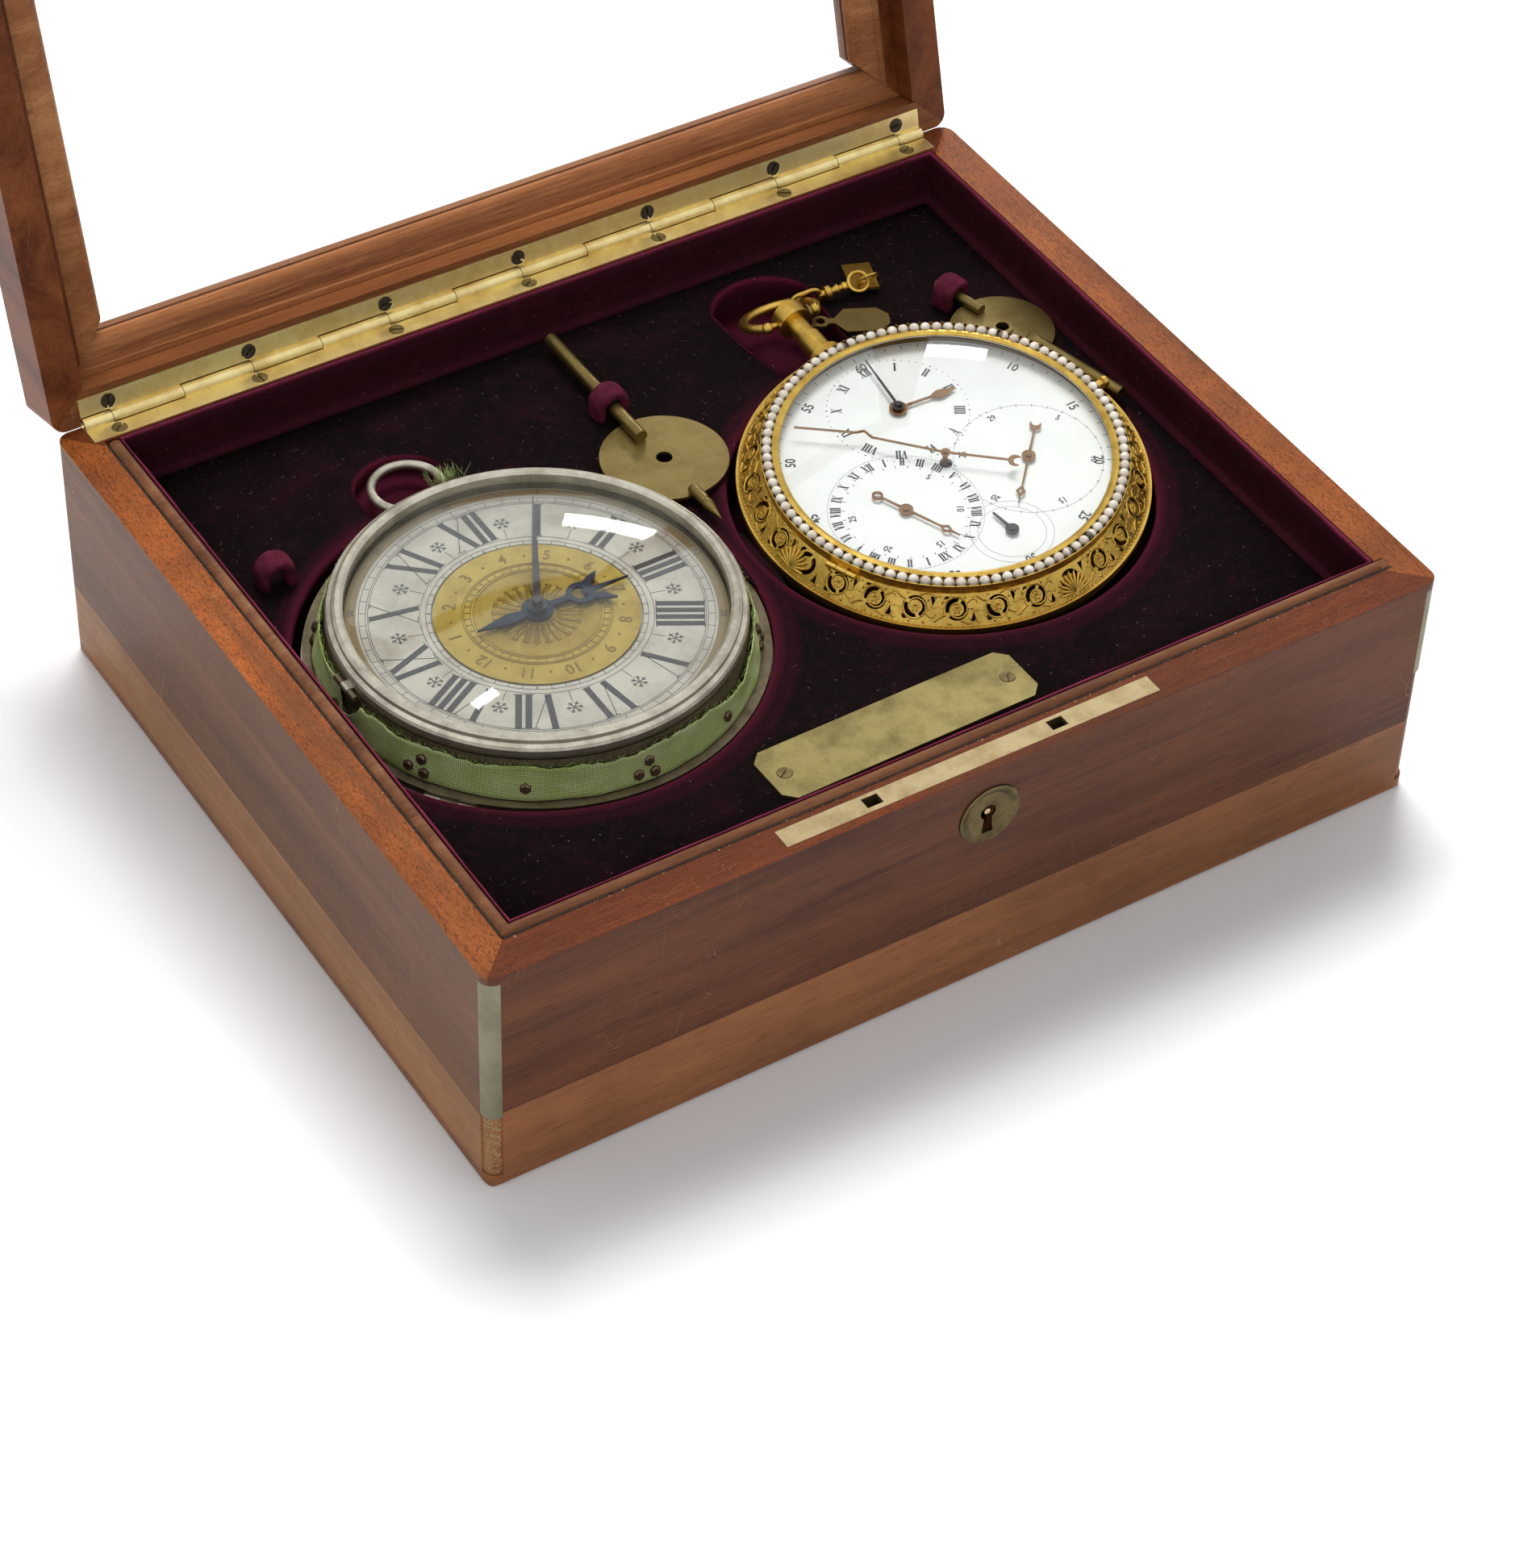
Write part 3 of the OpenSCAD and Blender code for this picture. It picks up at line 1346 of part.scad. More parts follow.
module octagonal_tag() {
    color(dull_brass) union() {
        translate(tag_two) rotate([0, 0, tag_two_a]) difference() {
            linear_extrude(0.9) union() {
                polygon([[2.4, -1.2], [4.2, -1.2], [7.4, -5.4], [17.2, -5.4], [20.6, -2.2],
                    [20.6, 2.2], [17.2, 5.4], [7.4, 5.4], [4.2, 1.2], [2.4, 1.2]]);
                circle(r = 2.6);
            }
            translate([0, 0, -1]) cylinder(r = 1.4, h = 3);
        }
        translate(bow_pivot) rotate([0, 90 + gilt_ry, 0]) translate([0, 0, 5.75]) difference() {
            union() {
                cylinder(r = 2.4, h = 0.8, center = true);
                translate([0, -0.8, -0.4]) cube([6.4, 1.6, 0.8]);
            }
            cylinder(r = 0.9 + slip, h = 3, center = true);
        }
        translate([bow_pivot[0] + 5.4, bow_pivot[1] - 0.8, tag_two[2]]) cube([4, 1.6, 0.9]);
    }
}

// ---------- the nodes ----------

base_board();
front_board();
back_board();
end_boards();
rim_lips();
corner_strings();
velvet_tray();
velvet_wells();
velvet_walls();
key_loops();
label_plate();
case_screws();
base_hinge_leaf();
hinge_pin();
lock_case();
lock_bolt();
escutcheon();
key_one();
key_two();
lid_front_rail();
lid_back_rail();
lid_stiles();
lid_beads();
lid_glass();
lid_hinge_leaf();
lid_screws();
link_plate();
coach_cover();
coach_bell();
coach_case();
coach_ribbon();
ribbon_pins();
coach_bezel();
coach_glass();
coach_dial();
alarm_disc();
coach_hour_hand();
coach_minute_hand();
coach_plates();
coach_fusee();
coach_balance();
coach_ring();
gilt_case();
gilt_bezel();
bezel_pearls();
gilt_glass();
enamel_dial();
seconds_hand();
gilt_minute_hand();
gilt_hour_hand();
moon_hand();
date_hand();
strike_lever();
gilt_pendant();
gilt_bow();
swivel_hook();
square_tag();
octagonal_tag();
push_piece();
gilt_plates();
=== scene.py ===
import random
from math import asin, atan2, copysign, cos, degrees, hypot, pi, radians, sin, sqrt

import bmesh
import bpy
from bmesh import ops
from mathutils import Matrix, Vector, noise


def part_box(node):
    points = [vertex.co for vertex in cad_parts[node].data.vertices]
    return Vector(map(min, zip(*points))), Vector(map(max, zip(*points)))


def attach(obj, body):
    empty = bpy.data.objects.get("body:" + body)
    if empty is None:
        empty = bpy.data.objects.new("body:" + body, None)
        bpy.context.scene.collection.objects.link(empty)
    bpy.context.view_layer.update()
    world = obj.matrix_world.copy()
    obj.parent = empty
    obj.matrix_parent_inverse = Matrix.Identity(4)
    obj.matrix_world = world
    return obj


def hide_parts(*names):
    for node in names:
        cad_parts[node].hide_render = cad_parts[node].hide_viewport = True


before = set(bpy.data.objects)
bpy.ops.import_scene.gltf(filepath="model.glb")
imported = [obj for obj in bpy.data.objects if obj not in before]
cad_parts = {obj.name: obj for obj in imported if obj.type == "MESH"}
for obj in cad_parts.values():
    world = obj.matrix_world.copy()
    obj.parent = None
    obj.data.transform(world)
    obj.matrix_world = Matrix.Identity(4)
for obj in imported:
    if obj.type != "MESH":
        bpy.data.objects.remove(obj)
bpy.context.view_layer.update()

chance = random.Random(11)


def moved(x, y, z=0.0):
    return Matrix.Translation((x, y, z))


def turned(angle, axis="Z"):
    """A turn through an angle in degrees."""
    return Matrix.Rotation(radians(angle), 4, axis)


# Where the two watches stand, as the construction has them
COACH = moved(-0.067, -0.0037)
GILT = moved(0.0644, -0.0061, 0.066) @ turned(-3.4, "Y") @ turned(4.4, "X")
VELVET_TOP = 0.0613
RIM_TOP = 0.078
COACH_DIAL_TOP = 0.0712
ALARM_TOP = 0.0714
ENAMEL_TOP = 0.0062
CENTRE = (0, 0)
HOUR_DIAL = (-0.0002, 0.0238)
MOON_DIAL = (0.021, -0.011)
DATE_DIAL = (-0.0202, -0.0108)
STRIKE_DIAL = (0.001, -0.0323)
PEARL_RING = 0.0505
PEARLS = 97


# ---------- finishes ----------

def colour_of(*parts):
    """A colour as a painter's chart gives it, 0 to 255, in linear light."""
    parts = [part / 255 for part in parts]
    return (*(part / 12.92 if part <= 0.04045 else ((part + 0.055) / 1.055) ** 2.4
              for part in parts), 1.0)


def shaded(colour, share):
    return tuple(min(255, int(part * share)) for part in colour)


class Nodes:
    """A node tree, built by what feeds each new node's inputs."""

    def __init__(self, tree):
        self.tree = tree

    def wire(self, source, target):
        if isinstance(source, (int, float, tuple)):
            target.default_value = source
        else:
            self.tree.links.new(source, target)

    def node(self, kind, feeds=(), **settings):
        made = self.tree.nodes.new("ShaderNode" + kind)
        for setting, value in settings.items():
            setattr(made, setting, value)
        for socket, source in dict(feeds).items():
            self.wire(source, made.inputs[socket])
        return made

    def place(self, stretch=(1, 1, 1), move=(0, 0, 0), turn=(0, 0, 0), source="Object"):
        return self.node("Mapping", {
            "Vector": self.node("TexCoord").outputs[source], "Location": move,
            "Rotation": tuple(map(radians, turn)), "Scale": stretch}).outputs["Vector"]

    def clouds(self, where, scale, detail=3.0, rough=0.5, warp=0.0):
        return self.node("TexNoise", {"Vector": where, "Scale": scale, "Detail": detail,
                                      "Roughness": rough, "Distortion": warp}).outputs["Fac"]

    def grains(self, where, scale):
        return self.node("TexVoronoi", {"Vector": where, "Scale": scale}).outputs["Distance"]

    def waves(self, where, scale, axis, warp):
        return self.node("TexWave", {"Vector": where, "Scale": scale, "Distortion": warp},
                         bands_direction=axis).outputs["Fac"]

    def span(self, value, low, high, to_low=0.0, to_high=1.0):
        """value, from low to high, stretched to run from to_low to to_high."""
        return self.node("MapRange", {"Value": value, "From Min": low, "From Max": high,
                                      "To Min": to_low, "To Max": to_high}).outputs["Result"]

    def sums(self, kind, first, second=0.0):
        return self.node("Math", {0: first, 1: second}, operation=kind).outputs[0]

    def axes(self, where):
        return self.node("SeparateXYZ", {0: where}).outputs

    def radius(self, where):
        """Distance from the Z axis of the place."""
        x, y, _ = self.axes(where)
        squares = self.sums("ADD", self.sums("MULTIPLY", x, x), self.sums("MULTIPLY", y, y))
        return self.sums("SQRT", squares)

    def direct(self):
        """1 for what is seen straight or through glass, 0 for light that has bounced."""
        path = self.node("LightPath").outputs
        bounces = self.sums("ADD", path["Diffuse Depth"], path["Glossy Depth"])
        return self.sums("LESS_THAN", bounces, 0.5)

    def show(self, share, first, second, output="Material Output"):
        """Ends the tree in a mix of two shaders."""
        mix = self.node("MixShader", {0: share, 1: first.outputs[0], 2: second.outputs[0]})
        self.wire(mix.outputs[0], self.tree.nodes[output].inputs["Surface"])


class Finish(Nodes):
    """A material: its main shader, its colour so far and its bumps so far."""

    def __init__(self, name, colour, rough=0.5, metal=0.0, **more):
        self.material = bpy.data.materials.new(name)
        self.material.use_nodes = True
        super().__init__(self.material.node_tree)
        self.shader = self.tree.nodes["Principled BSDF"]
        self.tint = colour
        self.normal = None
        more.update(Base_Color=colour_of(*colour), Roughness=rough, Metallic=metal)
        for socket, value in more.items():
            self.wire(value, self.shader.inputs[socket.replace("_", " ")])

    def mixed(self, share, first, second):
        """A blend of two colours, each (red, green, blue) or another node's output."""
        first, second = (colour_of(*tint) if isinstance(tint, tuple) else tint
                         for tint in (first, second))
        return self.node("Mix", {"Factor": share, 6: first, 7: second},
                         data_type="RGBA").outputs[2]

    def lay(self, share, tint):
        """Lays a colour over the colour so far."""
        self.tint = self.mixed(share, self.tint, tint)

    def over(self, tint, value, low, high, to_low=0.0, to_high=1.0):
        """Lays a colour on as value goes from low to high."""
        self.lay(self.span(value, low, high, to_low, to_high), tint)

    def shades(self, value, *stops):
        """Colours along value: each of three stops is (place, (red, green, blue))."""
        made = self.node("ValToRGB", {"Fac": value})
        made.color_ramp.elements.new(0.5)
        for element, (at, tint) in zip(made.color_ramp.elements, stops):
            element.position = at
            element.color = colour_of(*tint)
        return made.outputs["Color"]

    def roughen(self, value, low, high):
        self.wire(self.span(value, 0.0, 1.0, low, high), self.shader.inputs["Roughness"])

    def dent(self, height, depth, strength=1.0):
        """Bumps the surface by height, where 1 stands depth metres proud."""
        feeds = {"Strength": strength, "Distance": depth, "Height": height}
        if self.normal is not None:
            feeds["Normal"] = self.normal
        self.normal = self.node("Bump", feeds).outputs["Normal"]
        self.wire(self.normal, self.shader.inputs["Normal"])

    def done(self):
        self.wire(self.tint, self.shader.inputs["Base Color"])
        return self.material


def mahogany(name, along, dark, middle, light, strip=None, rim=None, gloss=0.36):
    """Polished mahogany whose grain runs along an axis; strip is the colour of
    the lower glued-on board below the seam, rim that of the worn top edge."""
    finish = Finish(name, middle, gloss, Coat_Weight=0.05, Coat_Roughness=0.2,
                    Specular_IOR_Level=0.14)
    stretch, drawn = {"X": ((0.05, 1, 1), (0.25, 1, 1)), "Y": ((1, 0.05, 1), (1, 0.25, 1))}[along]
    plain = finish.place()
    grain = finish.place(stretch, move=(0.3, 0.17, 0.05))
    bands = finish.clouds(grain, 60, 5.0, 0.65, 0.6)
    streaks = finish.span(bands, 0.35, 0.65)
    pores = finish.clouds(grain, 2900, 2.0, 0.6)
    height = finish.axes(plain)[2]
    finish.tint = finish.shades(bands, (0.32, dark), (0.5, middle), (0.7, light))
    if strip:
        seam = finish.span(finish.clouds(grain, 9, 1.0), 0.3, 0.7, 0.0245, 0.0285)
        above = finish.sums("SUBTRACT", height, seam)
        lower = finish.mixed(streaks, strip, shaded(strip, 0.78))
        finish.over(lower, above, -0.0002, 0.0002, 1.0, 0.0)
        finish.over((36, 18, 12), finish.sums("ABSOLUTE", above), 0.0, 0.0004, 0.6, 0.0)
    if rim:
        uneven = finish.span(finish.clouds(grain, 60, 3.0), 0.3, 0.7, -0.0006, 0.0006)
        worn = finish.mixed(streaks, rim, shaded(rim, 0.72))
        specks = finish.clouds(finish.place(drawn), 2600, 3.0, 0.6)
        worn = finish.mixed(finish.span(specks, 0.5, 0.62, 0.0, 0.7), worn, (62, 26, 12))
        blotches = finish.clouds(plain, 55, 4.0, 0.65)
        worn = finish.mixed(finish.span(blotches, 0.42, 0.68, 0.0, 0.5), worn, (84, 44, 22))
        finish.over(worn, finish.sums("ADD", height, uneven), 0.0772, 0.0777)
    finish.over((36, 14, 8), pores, 0.57, 0.66, 0.0, 0.42)
    finish.over(shaded(light, 1.2), finish.clouds(grain, 1100, 4.0, 0.7), 0.5, 0.75, 0.0, 0.3)
    finish.over(dark, finish.clouds(plain, 22, 3.0, 0.6), 0.4, 0.7, 0.0, 0.3)
    # Hair scratches, in patches: where slow clouds pass through their middle
    hairs = finish.clouds(finish.place((1, 1, 0.25), turn=(8, 12, 5)), 75, 2.0, 0.5, 1.0)
    hairs = finish.sums("ABSOLUTE", finish.sums("SUBTRACT", hairs, 0.5))
    patches = finish.span(finish.clouds(plain, 30, 2.0), 0.5, 0.62)
    finish.lay(finish.sums("MULTIPLY", finish.span(hairs, 0.0, 0.0022, 0.5, 0.0), patches),
               (168, 128, 96))
    scuffs = finish.clouds(plain, 900, 5.0, 0.75)
    finish.over((172, 126, 88), scuffs, 0.69, 0.74, 0.0, 0.5)
    finish.roughen(scuffs, gloss - 0.12, gloss + 0.16)
    finish.dent(pores, 0.00008, 0.5)
    finish.dent(scuffs, 0.0003, 0.3)
    return finish.done()


def metal(name, colour, rough, stain, amount, spread, brushed=False):
    """Old metal with clouds and spots of tarnish, perhaps brushed along X."""
    finish = Finish(name, colour, rough, 1.0)
    place = finish.place()
    clouds = finish.clouds(place, spread, 6.0, 0.65)
    spots = finish.clouds(place, 900, 4.0, 0.7)
    finish.over(stain, clouds, 0.42, 0.66, 0.0, amount)
    finish.over(stain, spots, 0.6, 0.72, 0.0, amount * 0.6)
    finish.roughen(clouds, rough - 0.07, rough + 0.18)
    scratched = finish.place((0.03, 1, 1) if brushed else (1, 1, 1))
    finish.dent(finish.clouds(scratched, 2200, 3.0, 0.7), 0.00004, 0.35)
    finish.dent(spots, 0.00004, 0.4)
    return finish.done()


def velvet(name, dark, middle, painted_highlight_colour):
    """Cut-pile silk velvet: crushed paths, stray lint, and a painted highlight where a per-corner
    attribute of the mesh asks for one.
    """
    finish = Finish(name, dark, 0.95, Sheen_Weight=0.1, Sheen_Roughness=0.4,
                    Sheen_Tint=colour_of(*middle), Specular_IOR_Level=0.05)
    place = finish.place()
    painted_highlight = finish.node("Attribute", attribute_name="painted_highlight").outputs["Fac"]
    crush = finish.clouds(place, 42, 5.0, 0.6, 0.8)
    pile = finish.clouds(place, 1500, 4.0, 0.75)
    finish.over(middle, crush, 0.52, 0.78, 0.0, 0.7)
    finish.over(middle, finish.clouds(place, 290, 5.0, 0.72, 0.4), 0.5, 0.74, 0.0, 0.6)
    finish.over(middle, pile, 0.4, 0.8, 0.0, 0.3)
    # Painted highlight: the bright colour laid on the edges and tops that the mesh marks as
    # catching the light
    finish.lay(finish.sums("MULTIPLY", painted_highlight, finish.span(pile, 0.2, 0.7, 0.55, 1.0)), painted_highlight_colour)
    specks = finish.grains(finish.place(move=(0.01, 0.02, 0)), 230)
    finish.over((150, 110, 110), specks, 0.05, 0.075, 0.35, 0.0)
    finish.dent(pile, 0.0006, 0.8)
    finish.dent(crush, 0.002, 0.35)
    return finish.done()


def clear_glass(name, tint=(250, 252, 250)):
    """Glass that lets the lamps through to what lies behind it."""
    finish = Finish(name, tint, 0.0, Transmission_Weight=1.0, IOR=1.45)
    finish.show(finish.node("LightPath").outputs["Is Shadow Ray"], finish.shader,
                finish.node("BsdfTransparent"))
    return finish.material


def woven_silk(name):
    """Faded green ribbon: a ribbed weave on the piece's own map."""
    finish = Finish(name, (182, 202, 110), 0.75, Sheen_Weight=0.3, Sheen_Roughness=0.4,
                    Sheen_Tint=colour_of(215, 225, 165))
    cloth = finish.place(source="UV")
    weave = finish.sums("MULTIPLY", finish.waves(cloth, 560, "X", 0.6),
                        finish.waves(cloth, 560, "Y", 0.6))
    worn = finish.clouds(finish.place((0.4, 1, 1), source="UV"), 210, 5.0, 0.65)
    finish.over((222, 226, 166), finish.clouds(cloth, 45, 3.0, 0.6), 0.35, 0.7)
    finish.over((228, 232, 190), worn, 0.5, 0.72, 0.0, 0.75)
    # Darker in the weave's hollows, where the bump below is lowest: painted shade between the
    # threads
    finish.over((70, 92, 42), weave, 0.0, 0.5, 0.72, 0.0)
    finish.dent(weave, 0.0002, 0.8)
    return finish.done()


# Two copies of one mahogany, with the grain along each board: the front, back and base copy is
# painted darker for the shade on the front, and the end boards' copy lighter for the light on the
# left side
MAHOGANY_FRONT_PAINTED_SHADE = mahogany("mahogany front painted shade", "X", (62, 32, 20), (98, 56, 35), (118, 70, 42),
                          strip=(164, 106, 66), rim=(118, 57, 26))
MAHOGANY_SIDE_PAINTED_LIGHT = mahogany("mahogany side painted light", "Y", (88, 54, 32), (112, 72, 44), (128, 86, 54),
                         strip=(176, 124, 78), rim=(176, 96, 44))
MAHOGANY_LID_X = mahogany("mahogany lid rail", "X", (104, 58, 32), (140, 86, 50), (164, 108, 64))
MAHOGANY_LID_Y = mahogany("mahogany lid stile", "Y", (84, 40, 20), (120, 64, 32), (146, 84, 44))
LIP_WOOD = mahogany("lip wood", "X", (82, 48, 30), (110, 70, 46), (140, 96, 64), gloss=0.5)
BEAD_WOOD = mahogany("moulding wood", "X", (128, 74, 44), (168, 108, 66), (202, 144, 92), gloss=0.3)
POLISHED_BRASS = metal("polished brass", (246, 226, 162), 0.32, (204, 170, 100), 0.6, 110, True)
LOCK_BRASS = metal("lock brass", (210, 188, 144), 0.34, (160, 134, 88), 0.6, 140, True)
LABEL_BRASS = metal("label brass", (180, 164, 108), 0.36, (104, 92, 52), 0.6, 90, True)
OLD_BRASS = metal("old brass", (112, 98, 66), 0.38, (62, 54, 36), 0.7, 160)
KEY_BRASS = metal("key brass", (146, 128, 78), 0.36, (116, 94, 50), 0.55, 120, True)
STRING_METAL = metal("corner metal", (140, 136, 114), 0.4, (108, 106, 84), 0.5, 90)
SILVER = metal("worn silver", (214, 208, 192), 0.4, (134, 126, 108), 0.55, 130)
BAND_SILVER = metal("tarnished silver band", (140, 128, 104), 0.42, (84, 74, 50), 0.6, 150)
GILT_METAL = metal("fire gilding", (228, 190, 94), 0.3, (164, 122, 46), 0.55, 150)
ROSE_GOLD = metal("rose gold", (166, 126, 90), 0.32, (104, 74, 48), 0.4, 300)
STEEL = metal("dark steel", (92, 92, 96), 0.3, (50, 46, 44), 0.5, 200)
BLUED_STEEL = metal("blued steel", (62, 72, 92), 0.3, (36, 36, 42), 0.6, 200)
SCREW_BRASS = metal("screw brass", (150, 134, 92), 0.4, (96, 82, 50), 0.6, 400)
SCREW_STEEL = metal("screw steel", (84, 78, 70), 0.4, (44, 38, 32), 0.6, 400)
PIN_METAL = metal("pin heads", (126, 106, 88), 0.42, (70, 58, 46), 0.5, 500)
INNER_BRASS = metal("movement gilding", (196, 156, 84), 0.34, (150, 108, 44), 0.3, 90)
VELVET_FLOOR = velvet("velvet floor", (16, 13, 13), (44, 20, 26), (108, 32, 58))
VELVET_WALL = velvet("velvet wall", (52, 21, 27), (74, 30, 36), (140, 54, 82))
GLASS = clear_glass("watch glass")
LID_PANE = clear_glass("lid glass", (252, 253, 251))
SILK = woven_silk("green silk")


def silvered():
    """Silvered dial plate with a bronzed outer edge."""
    finish = Finish("silvered dial", (198, 193, 182), 0.5, 0.6)
    place = finish.place(move=(0.067, 0.0037, 0))
    stain = finish.clouds(place, 70, 5.0, 0.65)
    fine = finish.clouds(place, 1500, 3.0, 0.7)
    finish.over((168, 162, 149), stain, 0.4, 0.7)
    finish.over((120, 116, 108), fine, 0.6, 0.72, 0.0, 0.35)
    finish.over((138, 122, 88), finish.radius(place), 0.0487, 0.0492)
    finish.roughen(stain, 0.34, 0.5)
    finish.dent(fine, 0.00003, 0.4)
    return finish.done()


def alarm_gilding():
    """Gilt disc: matted in the middle, polished where its numbers stand."""
    finish = Finish("alarm disc gilding", (200, 176, 92), 0.42, 0.85)
    place = finish.place(move=(0.067, 0.0037, 0))
    stain = finish.clouds(place, 110, 5.0, 0.65)
    inner = finish.span(finish.radius(place), 0.0172, 0.0174, 1.0, 0.0)
    finish.over((170, 144, 66), stain, 0.4, 0.7)
    finish.lay(finish.sums("MULTIPLY", inner, 0.35), (150, 120, 50))
    finish.roughen(inner, 0.3, 0.5)
    finish.dent(finish.sums("MULTIPLY", finish.grains(place, 2600), inner), 0.00018, 0.8)
    finish.dent(stain, 0.0001, 0.3)
    return finish.done()


def enamel():
    """White vitreous enamel with a faint warmth and fine dust."""
    finish = Finish("white enamel", (225, 226, 224), 0.14, Coat_Weight=0.3, Coat_Roughness=0.03)
    place = finish.place()
    finish.over((215, 216, 214), finish.clouds(place, 40, 3.0), 0.3, 0.7)
    finish.over((150, 140, 130), finish.grains(place, 420), 0.03, 0.05, 0.4, 0.0)
    return finish.done()


def pearl():
    """Half pearls with a soft lustre; a few have gone dark."""
    finish = Finish("pearls", (230, 224, 212), 0.22, Coat_Weight=0.7, Coat_Roughness=0.1,
                    Subsurface_Weight=0.25, Subsurface_Scale=0.001)
    place = finish.place()
    finish.over((196, 184, 168), finish.clouds(place, 320, 2.0), 0.35, 0.65)
    for angle in (279, 288, 38, 92):
        spot = GILT @ turned(angle) @ Vector((PEARL_RING, 0, 0.0106))
        gap = finish.node("VectorMath", {0: place, 1: tuple(spot)}, operation="DISTANCE")
        finish.over((74, 58, 44), gap.outputs["Value"], 0.0016, 0.0017, 0.85, 0.0)
    return finish.done()


def ink(name, colour, rough=0.5):
    finish = Finish(name, colour, rough)
    worn = finish.clouds(finish.place(), 1800, 3.0, 0.7)
    finish.over(tuple(min(255, part + 34) for part in colour), worn, 0.45, 0.7)
    return finish.done()


WAX = ink("engraving wax", (44, 43, 45), 0.55)
DIAL_INK = ink("enamel ink", (30, 29, 31), 0.35)
# A darker gold for the alarm disc's engraved numbers, lines and rosette: painted shade of the
# engraving and of the rosette's relief
ENGRAVED_GOLD_PAINTED_SHADE = metal("engraved gilding painted shade", (160, 136, 72), 0.4, (118, 96, 44), 0.35, 300)
SILVERED = silvered()
ALARM_GILDING = alarm_gilding()
ENAMEL = enamel()
PEARL = pearl()


# ---------- making pieces ----------

def meshed(name, bm, material):
    mesh = bpy.data.meshes.new(name)
    bm.to_mesh(mesh)
    bm.free()
    mesh.materials.append(material)
    return mesh


def placed(name, data):
    made = bpy.data.objects.new(name, data)
    bpy.context.scene.collection.objects.link(made)
    return made


def piece(name, bm, material, body, smooth=40):
    """A finished piece from bm, riding on a body; edges over smooth degrees stay crisp."""
    mesh = meshed(name, bm, material)
    mesh.polygons.foreach_set("use_smooth", [smooth > 0] * len(mesh.polygons))
    if 0 < smooth < 180:
        mesh.set_sharp_from_angle(angle=radians(smooth))
    made = placed(name, mesh)
    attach(made, body)
    return made


def dress(material, *nodes):
    for name in nodes:
        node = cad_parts[name]
        for holder in node.material_slots:
            holder.material = material


def add_curve(bm, curve, matrix):
    """Adds the mesh of a curve or a text, and drops the curve."""
    holder = bpy.data.objects.new(curve.name, curve)
    mesh = bpy.data.meshes.new_from_object(holder)
    mesh.transform(matrix)
    bm.from_mesh(mesh)
    bpy.data.objects.remove(holder)
    bpy.data.curves.remove(curve)
    bpy.data.meshes.remove(mesh)


def add_wire(bm, points, full, tip, matrix):
    """A round wire through points, from a full radius to that of its tip."""
    curve = bpy.data.curves.new("wire", "CURVE")
    curve.dimensions = "3D"
    curve.bevel_depth = full
    curve.bevel_resolution = 1
    curve.use_fill_caps = True
    spline = curve.splines.new("POLY")
    spline.points.add(len(points) - 1)
    for at, (target, point) in enumerate(zip(spline.points, points)):
        target.co = (*point, 1)
        target.radius = 1 + (tip / full - 1) * at / (len(points) - 1)
    add_curve(bm, curve, matrix)


def add_bead(bm, at, size, matrix, rounds=(8, 5)):
    """A small rounded lump, squashed to size along each axis."""
    ops.create_uvsphere(bm, u_segments=rounds[0], v_segments=rounds[1], radius=1,
                        matrix=matrix @ moved(*at) @ Matrix.Diagonal((*size, 1)))


def add_hair(bm, thick, tip, length, matrix):
    """A straight stray fibre along Z."""
    ops.create_cone(bm, cap_ends=True, segments=3, radius1=thick, radius2=tip, depth=length,
                    matrix=matrix)


def add_crumb(bm, size, squash, matrix):
    """An uneven lump, flattened along its axes."""
    made = ops.create_icosphere(bm, subdivisions=1, radius=size)["verts"]
    for corner in made:
        corner.co += Vector([chance.uniform(-0.3, 0.3) * size for _ in range(3)])
    ops.transform(bm, verts=made, matrix=matrix @ Matrix.Diagonal((*squash, 1)))


def edges_of(corners):
    return list({edge for corner in corners for edge in corner.link_edges})


def ring_of(parts):
    """The corners and the edges among some parts of a mesh."""
    return ([part for part in parts if isinstance(part, bmesh.types.BMVert)],
            [part for part in parts if isinstance(part, bmesh.types.BMEdge)])


def grown(bm, edges):
    """The corners and edges that extruding some edges makes."""
    return ring_of(ops.extrude_edge_only(bm, edges=edges)["geom"])


def thicken(made, thickness, offset=-1):
    cloth = made.modifiers.new("cloth", "SOLIDIFY")
    cloth.thickness = thickness
    cloth.offset = offset


